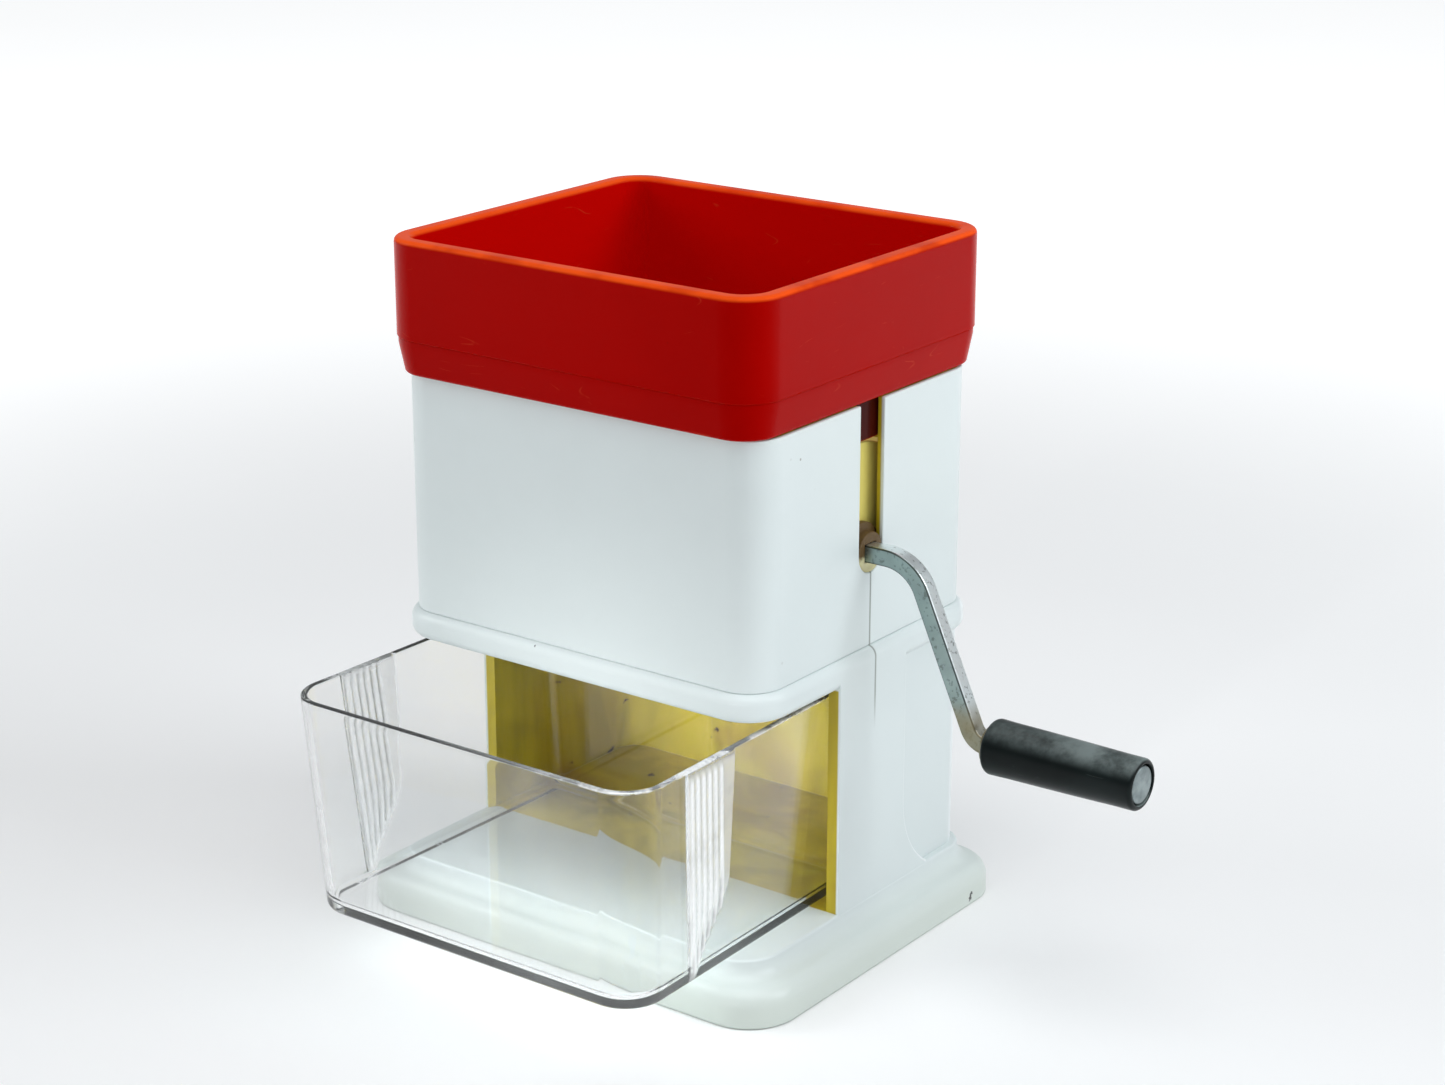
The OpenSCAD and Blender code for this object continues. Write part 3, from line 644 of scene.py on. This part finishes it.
def floor_paper():
    """White paper that glows more strongly away from the object: painted light that mimics a lit studio
    sweep.
    """
    s = Surface("floor_paper", roughness=0.85)
    tone = s.mottle(3, 2.0, 0.3, 0.7, PAPER_LIGHT, PAPER_DARK)
    length = s.add("ShaderNodeVectorMath", operation="LENGTH")
    s.feed(length.inputs[0], s.place)
    # Painted light: the paper glows, more strongly away from the object.
    s.feed(s.shader.inputs["Emission Strength"], s.fit(length.outputs["Value"], 0.30, 1.0, 0.0, 0.55))
    s.shader.inputs["Emission Color"].default_value = (1.0, 1.0, 1.0, 1)
    return s.finish(tone)


RED = red_plastic(COLLAR_LOW_Z - 0.2 * MM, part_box("hopper_bin")[1].z - 1.0 * MM)
SHADED_STAINED = stained_plastic()
PLATED = plated_steel(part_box("crank_bar")[0].x)
BLADE = sheet_steel("blade_steel", BLADE_STEEL, 0.28)
SCREW = sheet_steel("screw_steel", SCREW_STEEL, 0.32)
BLACK = black_plastic(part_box("grip")[0].x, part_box("grip")[1].x)
BUSH = bush_plastic()

# ------------------------------------------------------------
# Hopper
# ------------------------------------------------------------


def build_hopper():
    half_w, half_d, joint_z, top_z = half_sizes("hopper_bin")
    collar_w, collar_d, skirt_z, _ = half_sizes("hopper_collar")
    corner_r = 12 * MM
    rim_w, rim_edge, rim_steps = 5.2 * MM, 1.5 * MM, 6
    low_edge = 0.5 * MM
    outer = (half_w, half_d, corner_r)
    mouth = (half_w - rim_w, half_d - rim_w, corner_r - rim_w)
    throat = (58.4 * MM, 49.6 * MM, 6 * MM)
    outlet = (57.5 * MM, 47.4 * MM, 6 * MM)

    bm = bmesh.new()
    rings = [grown_ring(outer, -low_edge, joint_z), even_ring(*outer, joint_z + low_edge)]
    rings += [grown_ring(outer, u - rim_edge, top_z - rim_edge + v)
              for u, v in arc((0, 0), rim_edge, 0, 90, rim_steps)]
    rings += [grown_ring(mouth, u + rim_edge, top_z - rim_edge + v)
              for u, v in arc((0, 0), rim_edge, 90, 180, rim_steps)]
    rings.append(even_ring(*throat, joint_z))
    loft(bm, rings, closed=True)
    bin_piece = link("hopper_bin_shell", bm, RED, "hopper")
    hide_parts("hopper_bin")

    band_h, taper = 1.6 * MM, 1.5 * MM
    taper_edge, taper_steps = 1.0 * MM, 4
    band = (collar_w, collar_d, corner_r - 0.4 * MM)
    skirt = (59.9 * MM, 49.8 * MM, 8.1 * MM)
    bm = bmesh.new()
    rings = [even_ring(*band, joint_z), even_ring(*band, joint_z - band_h)]
    rings += [grown_ring(band, u - taper - taper_edge, COLLAR_LOW_Z + taper_edge + v)
              for u, v in arc((0, 0), taper_edge, 0, -90, taper_steps)]
    rings += [even_ring(*skirt, COLLAR_LOW_Z), even_ring(*skirt, skirt_z + low_edge)]
    rings.append(grown_ring(skirt, -low_edge, skirt_z))
    rings += [even_ring(*outlet, skirt_z), even_ring(*throat, joint_z)]
    loft(bm, rings, closed=True)
    collar_piece = link("hopper_collar_shell", bm, RED, "hopper")
    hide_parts("hopper_collar")


# ------------------------------------------------------------
# Foot and column
# ------------------------------------------------------------


def build_foot():
    low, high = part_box("foot")
    half_w, front, rear, top_z = high.x, -low.y, high.y, high.z
    step_w, step_front, step_rear = 8.2 * MM, 7.0 * MM, 3.3 * MM
    front_r, front_r_step = 15 * MM, 3.5 * MM
    rear_r, rear_r_step = 10 * MM, 0.5 * MM
    inset_r_share = 0.6
    plate_z, rim_w = 2.3 * MM, 2.6 * MM
    low_edge, top_edge, edge_steps = 0.9 * MM, 0.7 * MM, 3
    side_z, crest_z, wall_z, step_steps = 6.0 * MM, 10.8 * MM, 15.0 * MM, 8
    bay = (60.9 * MM, 50.3 * MM, BAY_CORNER_R, CHEEK_FRONT_Y)
    chips = (((73.1 * MM, 40.0 * MM, 2.4 * MM), 0.8 * MM), ((73.2 * MM, 40.6 * MM, 3.8 * MM), 0.7 * MM))

    def ring(share, z, inset=0.0):
        """Outline at a share of the way in from the foot's side to the platform's, drawn in by inset."""
        return plan_ring(half_w - step_w * share - inset, front - step_front * share - inset,
                         rear - step_rear * share - inset,
                         front_r - front_r_step * share - inset * inset_r_share,
                         rear_r + rear_r_step * share - inset * inset_r_share, z)

    bm = bmesh.new()
    rings = [ring(0, plate_z, rim_w), ring(0, 0, rim_w)]
    rings += [ring(0, low_edge + v, low_edge + u) for u, v in arc((0, 0), low_edge, 270, 180, edge_steps)]
    for i in range(step_steps + 1):
        angle = math.radians(90 * i / step_steps)
        rings.append(ring(0.5 * (1 - math.cos(angle)), side_z + (crest_z - side_z) * math.sin(angle)))
    for i in range(1, step_steps + 1):
        angle = math.radians(90 * i / step_steps)
        rings.append(ring(0.5 + 0.5 * math.sin(angle), wall_z - (wall_z - crest_z) * math.cos(angle)))
    rings += [ring(1, top_z - top_edge + v, top_edge - u)
              for u, v in arc((0, 0), top_edge, 0, 90, edge_steps)]
    loft(bm, rings, cap_first=True, cap_last=True)
    # The bay gets the ochre painted shade.
    piece = link("foot_shell", bm, white_plastic("white_foot", bay, marks=chips), "stand_body")
    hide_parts("foot")


def join_solids(name, makers, material, body):
    """One piece from several closed solids, united."""
    whole = None
    merge = 0.002 * MM
    for i, maker in enumerate(makers):
        bm = bmesh.new()
        maker(bm)
        bmesh.ops.recalc_face_normals(bm, faces=bm.faces)
        part = new_object(f"{name}_{i}", bm)
        if whole is None:
            whole = part
            continue
        unite = whole.modifiers.new("unite", "BOOLEAN")
        unite.operation = "UNION"
        unite.solver = "EXACT"
        unite.object = part
        united = bpy.data.meshes.new_from_object(whole.evaluated_get(bpy.context.evaluated_depsgraph_get()))
        whole.modifiers.clear()
        whole.data = united
        bpy.data.objects.remove(part)
    bm = bmesh.new()
    bm.from_mesh(whole.data)
    bmesh.ops.remove_doubles(bm, verts=bm.verts, dist=merge)
    bmesh.ops.dissolve_degenerate(bm, edges=bm.edges, dist=merge)
    bm.to_mesh(whole.data)
    bm.free()
    whole.name = name
    whole.data.name = name
    return dress(whole, material, body)


def build_column():
    half_w, half_d, low_z, seam_z = half_sizes("column")
    shell_w, shell_d, _, _ = half_sizes("housing_rear")
    body_r = 11 * MM
    bead_z = seam_z - 8.2 * MM
    bead_fillet, fillet_steps = 2.9 * MM, 8
    bead_mouth = (shell_w - 2.4 * MM, shell_d - 2.4 * MM, 8.6 * MM)
    bay_w, bay_rear, bay_r = 60.95 * MM, shell_d - 2.25 * MM, BAY_CORNER_R
    sunk_z = low_z - 0.6 * MM
    walls_y, walls_z = CHEEK_FRONT_Y + 1.5 * MM, bead_z + 1 * MM
    cheek_z, cheek_edge, cheek_steps = bead_z + 3 * MM, 1.3 * MM, 5
    panel_y, panel_z, panel_r, panel_steps = 16.5 * MM, 40 * MM, 28 * MM, 12
    # The ochre painted shade reaches a little past the bay's walls and onto the cheeks' front edges.
    shade_margin = 0.3 * MM
    edge_shade = (CHEEK_FRONT_Y + 0.9 * MM, half_w - 0.7 * MM, bead_z)
    seam_fade_z = 66 * MM
    chip = ((-12.5 * MM, -54.0 * MM, 90.6 * MM), 0.45 * MM)

    def walls(bm):
        outline = [(shell_w, walls_y)]
        outline += arc((shell_w - body_r, shell_d - body_r), body_r, 0, 90, CORNER_STEPS)
        outline += arc((body_r - shell_w, shell_d - body_r), body_r, 90, 180, CORNER_STEPS)
        outline += [(-shell_w, walls_y), (-bay_w, walls_y)]
        outline += arc((bay_r - bay_w, bay_rear - bay_r), bay_r, 180, 90, CORNER_STEPS)
        outline += arc((bay_w - bay_r, bay_rear - bay_r), bay_r, 90, 0, CORNER_STEPS)
        outline += [(bay_w, walls_y)]
        prism(bm, outline, lambda u, v, d: Vector((u, v, d)), (sunk_z, walls_z))

    def cheek(side):
        def at_end(vert):
            return abs(vert.co.z - sunk_z) < TOUCH or abs(vert.co.z - cheek_z) < TOUCH

        def on_face(edge):
            """An edge of the inner or the outer face that isn't along the cheek's top or bottom."""
            first, second = edge.verts
            return abs(first.co.x - second.co.x) < TOUCH and not (at_end(first) and at_end(second))

        def make(bm):
            turn = math.degrees(math.asin((panel_z - sunk_z) / panel_r))
            outline = [(CHEEK_FRONT_Y, sunk_z)]
            outline += arc((panel_y + panel_r, panel_z), panel_r, 180 + turn, 180, panel_steps)
            outline += [(panel_y, cheek_z), (CHEEK_FRONT_Y, cheek_z)]
            prism(bm, outline, lambda u, v, d: Vector((d, u, v)), (side * bay_w, side * half_w))
            bm.normal_update()
            rounded = [edge for edge in bm.edges if on_face(edge)]
            bmesh.ops.bevel(bm, geom=rounded, offset=cheek_edge, segments=cheek_steps, profile=0.5,
                            affect="EDGES")
        return make

    def bead(bm):
        outer = (half_w, half_d, body_r + half_w - shell_w)
        rings = [even_ring(*bead_mouth, seam_z), even_ring(*bead_mouth, bead_z)]
        for centre_z, start in ((bead_z + bead_fillet, -90), (seam_z - bead_fillet, 0)):
            rings += [grown_ring(outer, u - bead_fillet, centre_z + v)
                      for u, v in arc((0, 0), bead_fillet, start, start + 90, fillet_steps)]
        loft(bm, rings, closed=True)

    white = white_plastic("white_column", (bay_w + shade_margin, bay_rear + shade_margin, bay_r),
                          seam_z=seam_fade_z, marks=(chip,), edge_light=True, edge_shade=edge_shade)
    piece = join_solids("column_shell", [bead, walls, cheek(-1), cheek(1)], white, "stand_body")
    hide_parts("column")


# ------------------------------------------------------------
# Drawer
# ------------------------------------------------------------


def build_drawer():
    low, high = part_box("drawer")
    low_z, rim_z, front_y, rear_y = low.z, high.z, low.y, high.y
    height = rim_z - low_z
    rim_w = 61.4 * MM
    low_w = rim_w - 3.4 * MM
    lean_y, taper = 3.5 * MM, 2 * MM
    front_r, front_steps = 12 * MM, 14
    rear_r, rear_steps = 4 * MM, 6
    least_r = 0.2 * MM
    wall, floor_h = 2 * MM, 2 * MM
    low_edge, low_steps, low_inset = 1.6 * MM, 4, 2.56 * MM
    rim_edge, rim_steps = 0.6 * MM, 3
    sweep, sweep_steps = 3 * MM, 5
    rows, side_steps = 40, 84

    pad_y, pad_len, pad_h, pad_edge = 22 * MM, 21.7 * MM, 0.6 * MM, 0.35 * MM
    pad_lean, pad_cut, cut_share = 5.5 * MM, 13.5 * MM, 0.43
    pad_low, pad_top = (0.4 * MM, 1.0 * MM), (0.9 * MM, 0.4 * MM)
    rib_start, rib_pitch, rib_w, rib_h, ribs = 1.85 * MM, 2.6 * MM, 1.5 * MM, 0.45 * MM, 6
    rib_crest, rib_foot, rib_margin = 0.22, 0.62, 0.6 * MM
    rib_low, rib_top = (2.5 * MM, 4.0 * MM), (4.0 * MM, 2.8 * MM)
    loose, crowded = 0.45, 0.55
    milk_flat, milk_rib, milk_rib_h, milk_depth = 0.55, 0.45, 0.3 * MM, 0.5 * MM
    dense_start = front_y + pad_y - 1 * MM
    dense_end = front_y + pad_y + pad_len + 1.5 * MM

    def between(z, low_fade, top_fade):
        """1 between a fade above the underside and a fade below the rim, 0 beyond them."""
        return smooth(z, *low_fade) * (1 - smooth(z, height - top_fade[0], height - top_fade[1]))

    def pad_height(y, z):
        """How far the finger pad and its ribs stand out at a distance y behind the front and a height z."""
        share = z / height
        lean = pad_lean * (1 - share)
        u = y - pad_y - lean
        end = pad_len - lean - smooth(cut_share - share, 0.0, cut_share) * pad_cut
        pad = smooth(u, -pad_edge, pad_edge) * (1 - smooth(u, end - pad_edge, end + pad_edge))
        pad *= between(z, pad_low, pad_top)
        squeeze = min(1.0, end / (pad_len - lean))
        pitch = rib_pitch * (crowded + loose * squeeze)
        ridge = 0.0
        for i in range(ribs):
            centre = rib_start + i * pitch
            if centre < end - rib_margin:
                ridge = max(ridge, 1 - smooth(abs(u - centre), rib_w * rib_crest, rib_w * rib_foot))
        ridge *= between(z, rib_low, rib_top)
        return pad * (pad_h + rib_h * ridge)

    def side_points(side, x_front, x_rear, y_start, y_end, z, proud):
        """Points along one side wall, closely spaced over the finger pad."""
        points = []
        dense = [dense_start + (dense_end - dense_start) * i / side_steps for i in range(side_steps + 1)]
        for y in [y_start] + dense + [y_end]:
            x = x_front + (x_rear - x_front) * (y - y_start) / (y_end - y_start)
            out = pad_height(y - front_y, z - low_z) if proud else 0.0
            points.append(Vector((side * (x + out), y, z)))
        return points

    def ring(share, z, inset, proud=False):
        """Outline of the drawer at a share of its height, anticlockwise from the right side's front."""
        half_w = low_w + (rim_w - low_w) * share
        fr, rr = max(front_r - inset, least_r), max(rear_r - inset, least_r)
        x_front, x_rear = half_w - inset, half_w - taper - inset
        y_start, y_end = front_y + lean_y * (1 - share) + front_r, rear_y - rear_r
        right = side_points(1, x_front, x_rear, y_start, y_end, z, proud)
        left = side_points(-1, x_front, x_rear, y_start, y_end, z, proud)
        rear = arc((x_rear - rr, y_end), rr, 0, 90, rear_steps)[1:]
        rear += arc((rr - x_rear, y_end), rr, 90, 180, rear_steps)[:-1]
        front = arc((fr - x_front, y_start), fr, 180, 270, front_steps)[1:]
        front += arc((x_front - fr, y_start), fr, 270, 360, front_steps)[:-1]
        return (right + [Vector((u, v, z)) for u, v in rear] + left[::-1]
                + [Vector((u, v, z)) for u, v in front])

    bm = bmesh.new()
    rings = [ring(0, low_z, low_inset)]
    rings += [ring((low_edge + v) / height, low_z + low_edge + v, low_edge + u)
              for u, v in arc((0, 0), low_edge, 270, 180, low_steps)]
    for i in range(1, rows + 1):
        z = low_z + low_edge + (height - low_edge - rim_edge) * i / rows
        rings.append(ring((z - low_z) / height, z, 0.0, proud=True))
    rings += [ring(1, rim_z - rim_edge + v, rim_edge - u)
              for u, v in arc((0, 0), rim_edge, 0, 90, rim_steps)[1:]]
    rings += [ring(1, rim_z - rim_edge + v, wall - rim_edge - u)
              for u, v in arc((0, 0), rim_edge, 90, 180, rim_steps)]
    floor_z = low_z + floor_h
    rings.append(ring((floor_z + sweep - low_z) / height, floor_z + sweep, wall))
    rings += [ring((floor_z + sweep + v - low_z) / height, floor_z + sweep + v, wall + sweep + u)
              for u, v in arc((0, 0), sweep, 180, 270, sweep_steps)[1:]]
    loops = loft(bm, rings)

    # The underside and the inner floor are strips of quads between mirrored points.
    side_count = side_steps + 3
    mirror = 2 * side_count + 2 * rear_steps - 1
    for loop in (loops[0], loops[-1]):
        count = len(loop)
        for i in range(-front_steps, side_count + rear_steps - 1):
            bm.faces.new([loop[k % count] for k in (i, i + 1, mirror - i - 1, mirror - i)])
    piece = link("drawer_shell", bm, clear_plastic(rim_z), "drawer_body")

    # How milky each point of the finger pads is, on the outer side of the walls only.
    values = piece.data.attributes.new("pad", "FLOAT", "POINT")
    for i, vert in enumerate(piece.data.vertices):
        share = (vert.co.z - low_z) / height
        along = (vert.co.y - front_y - lean_y * (1 - share) - front_r) / (rear_y - rear_r - front_y - front_r)
        outer = low_w + (rim_w - low_w) * share - taper * max(0.0, along) - milk_depth
        if abs(vert.co.x) > outer:
            proud = pad_height(vert.co.y - front_y, vert.co.z - low_z)
            ridge = max(0.0, min(1.0, (proud - pad_h) / milk_rib_h))
            values.data[i].value = min(1.0, proud / pad_h) * (milk_flat + milk_rib * ridge)
    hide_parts("drawer")


# ------------------------------------------------------------
# Crank and grip
# ------------------------------------------------------------


def build_crank():
    low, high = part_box("crank_bar")
    half = (high.y - low.y) / 2
    bar_edge, edge_steps = 0.7 * MM, 3
    slope = math.radians(66)
    bend_x, first_r, second_r, bend_steps = 68.7 * MM, 13 * MM, 6 * MM, 20
    drop = (first_r + second_r) * (1 - math.cos(slope))
    arm_len = (SHAFT_Z - GRIP_Z - drop) / math.sin(slope)
    bevel, bevel_size = 0.4 * MM, 0.86
    cap_x, cap_size = 0.01 * MM, 0.99
    pin_r, pin_root, pin_short, pin_turns = 2.45 * MM, 1 * MM, 0.1 * MM, 48

    path = [(low.x + bevel, SHAFT_Z, 0.0), (bend_x, SHAFT_Z, 0.0)]
    for i in range(1, bend_steps + 1):
        a = slope * i / bend_steps
        path.append((bend_x + first_r * math.sin(a), SHAFT_Z - first_r * (1 - math.cos(a)), a))
    x, z, _ = path[-1]
    path.append((x + arm_len * math.cos(slope), z - arm_len * math.sin(slope), slope))
    x, z, _ = path[-1]
    for i in range(1, bend_steps + 1):
        a = slope * (1 - i / bend_steps)
        path.append((x + second_r * (math.sin(slope) - math.sin(a)),
                     z - second_r * (math.cos(a) - math.cos(slope)), a))
    pin_x = path[-1][0]

    section = []
    for cx, cy, start in ((1, 1, 0), (-1, 1, 90), (-1, -1, 180), (1, -1, 270)):
        section += arc((cx * (half - bar_edge), cy * (half - bar_edge)), bar_edge, start, start + 90,
                       edge_steps)

    def ring(x, z, angle, size=1.0):
        """The bar's section where it runs at an angle below the X axis."""
        out = Vector((math.sin(angle), 0, math.cos(angle)))
        return [Vector((x, v * size, z)) + out * (u * size) for u, v in section]

    bm = bmesh.new()
    rings = [ring(path[0][0] - bevel, SHAFT_Z, 0.0, bevel_size)]
    rings += [ring(*point) for point in path]
    rings.append(ring(pin_x + cap_x, GRIP_Z, 0.0, cap_size))
    loft(bm, rings, cap_first=True, cap_last=True)
    lathe(bm, [(pin_x - pin_root, pin_r), (high.x - pin_short, pin_r)], GRIP_Z, pin_turns)
    piece = link("crank_bar_shell", bm, PLATED, "rotor")
    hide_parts("crank_bar")


def build_grip():
    low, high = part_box("grip")
    grip_r = (high.y - low.y) / 2
    length = high.x - low.x
    narrowing, swell, swell_steps = 0.6 * MM, 0.12 * MM, 8
    end_r = grip_r - narrowing
    start_edge, end_edge, seat_edge = 1.4 * MM, 1.2 * MM, 0.3 * MM
    start_steps, end_steps, seat_steps = 6, 8, 3
    seat_r, seat_depth, bore_r, bore_flare = 5.7 * MM, 2.0 * MM, 2.5 * MM, 0.01 * MM
    turns = 72

    profile = [(low.x + length - seat_depth, bore_r + bore_flare), (low.x, bore_r)]
    profile += [(low.x + start_edge + u, grip_r - start_edge + v)
                for u, v in arc((0, 0), start_edge, 180, 90, start_steps)]
    for i in range(1, swell_steps):
        share = i / swell_steps
        profile.append((low.x + start_edge + (length - start_edge - end_edge) * share,
                        grip_r - narrowing * share - swell + swell * math.sin(math.pi * share)))
    profile += [(high.x - end_edge + u, end_r - end_edge + v)
                for u, v in arc((0, 0), end_edge, 90, 0, end_steps)]
    profile.append((high.x, seat_r + seat_edge))
    profile += [(high.x - seat_edge + u, seat_r + seat_edge - v)
                for u, v in arc((0, 0), seat_edge, 0, 90, seat_steps)[1:]]
    profile.append((high.x - seat_depth, seat_r))
    bm = bmesh.new()
    loft(bm, [round_ring(x, r, GRIP_Z, turns) for x, r in profile], closed=True)
    piece = link("grip_shell", bm, BLACK, "grip_body")
    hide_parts("grip")


def build_rivet():
    cap_r, crown, crown_r, turns = 5.2 * MM, 0.5 * MM, 0.6 * MM, 56
    dome = ((0.05 * MM, 0.5), (0.08 * MM, 0.05))
    face_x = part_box("grip")[1].x - 0.15 * MM
    profile = [(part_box("grip_rivet")[0].x, cap_r), (face_x - crown, cap_r)]
    for degrees in (30, 60, 90):
        angle = math.radians(degrees)
        profile.append((face_x - crown + crown * math.sin(angle), cap_r - crown_r * (1 - math.cos(angle))))
    profile += [(face_x + rise, cap_r * share) for rise, share in dome]
    bm = bmesh.new()
    lathe(bm, profile, GRIP_Z, turns)
    cap = link("grip_rivet_cap", bm, dull_steel(), "rotor")
    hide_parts("grip_rivet")


# ------------------------------------------------------------
# Pieces that stay the CAD's own
# ------------------------------------------------------------


def dress_nodes():
    """Materials and rounded edges for the CAD nodes that no new mesh replaces."""
    shell_w, shell_d, _, _ = half_sizes("housing_rear")
    # The housing's hollow gets the ochre painted shade.
    housing = white_plastic("white_housing", (shell_w - 1.0 * MM, shell_d - 1.2 * MM, 9.8 * MM), seam_z=0.0)
    materials = {
        "comb_front": SHADED_STAINED, "comb_rear": SHADED_STAINED, "bush_right": BUSH, "bush_left": BUSH,
        "end_plate_right": SHADED_STAINED, "end_plate_left": SHADED_STAINED, "grip_washer": PLATED,
        "base_screws": SCREW, "housing_screws": SCREW, "comb_screws": SCREW,
        "housing_front": housing, "housing_rear": housing, "base_plate": white_plastic("white_base"),
    }
    for name in frame["nodes"]:
        if name.startswith("disc_"):
            materials[name] = BLADE
        if name.startswith("spacer_"):
            materials[name] = SHADED_STAINED
    for name, material in materials.items():
        node = frame["nodes"][name]
        node.data.materials.clear()
        node.data.materials.append(material)
    for name in ("housing_front", "housing_rear"):
        round_edges(name, 0.35 * MM)
    for name in ("end_plate_right", "end_plate_left", "bush_right", "bush_left"):
        round_edges(name, 0.3 * MM, segments=2)


# ------------------------------------------------------------
# Floor, light and camera
# ------------------------------------------------------------


def build_stage():
    bm = bmesh.new()
    bmesh.ops.create_circle(bm, cap_ends=True, segments=64, radius=12.0)
    floor = new_object("floor", bm)
    floor.data.materials.append(floor_paper())


def aim(thing, place, target):
    """Puts a lamp or camera at a place and turns it towards a target."""
    thing.location = place
    thing.rotation_euler = (Vector(target) - Vector(place)).to_track_quat("-Z", "Y").to_euler()


def area_light(name, place, target, size, power, colour=(1, 1, 1), spread=None):
    data = bpy.data.lights.new(name, "AREA")
    data.shape = "RECTANGLE"
    data.size, data.size_y = size
    data.energy = power
    data.color = colour
    if spread is not None:
        data.spread = math.radians(spread)
    light = bpy.data.objects.new(name, data)
    bpy.context.scene.collection.objects.link(light)
    aim(light, place, target)


def build_lights():
    middle = (0.0, 0.0, 0.1)
    area_light("key", place=(1.05, 0.36, 0.80), target=middle, size=(0.7, 0.7), power=7.2,
               colour=(0.93, 0.97, 1.0))
    area_light("fill", place=(-1.05, -0.62, 0.75), target=middle, size=(0.6, 0.6), power=4.3,
               colour=(0.97, 0.99, 1.0))
    area_light("low", place=(0.10, -1.0, 0.16), target=(0.0, 0.03, 0.048), size=(0.10, 0.05), power=0.018,
               spread=10)
    area_light("top", place=(0.30, -0.35, 1.85), target=middle, size=(1.4, 1.4), power=15.0,
               colour=(0.985, 0.99, 1.0))


def build_world():
    """Soft sky light, with a plain white backdrop where the camera sees past the floor."""
    world = bpy.data.worlds.new("studio")
    bpy.context.scene.world = world
    world.use_nodes = True
    tree = world.node_tree
    sky = tree.nodes["Background"]
    sky.inputs["Color"].default_value = (0.94, 0.975, 1.0, 1)
    sky.inputs["Strength"].default_value = 0.34
    backdrop = tree.nodes.new("ShaderNodeBackground")
    backdrop.inputs["Color"].default_value = (1.0, 1.0, 1.0, 1)
    seen = tree.nodes.new("ShaderNodeLightPath")
    mix = tree.nodes.new("ShaderNodeMixShader")
    tree.links.new(seen.outputs["Is Camera Ray"], mix.inputs[0])
    tree.links.new(sky.outputs["Background"], mix.inputs[1])
    tree.links.new(backdrop.outputs["Background"], mix.inputs[2])
    tree.links.new(mix.outputs["Shader"], tree.nodes["World Output"].inputs["Surface"])


def build_camera():
    data = bpy.data.cameras.new("camera")
    data.sensor_width = 36.0
    data.lens = 73.72
    camera = bpy.data.objects.new("camera", data)
    bpy.context.scene.collection.objects.link(camera)
    aim(camera, place=(0.4869, -0.64135, 0.37614), target=(0.00766, 0.00612, 0.10877))
    bpy.context.scene.camera = camera


build_hopper()
build_foot()
build_column()
build_drawer()
build_crank()
build_grip()
build_rivet()
dress_nodes()

build_stage()
build_lights()
build_world()
build_camera()
bpy.context.scene.view_settings.view_transform = "Standard"
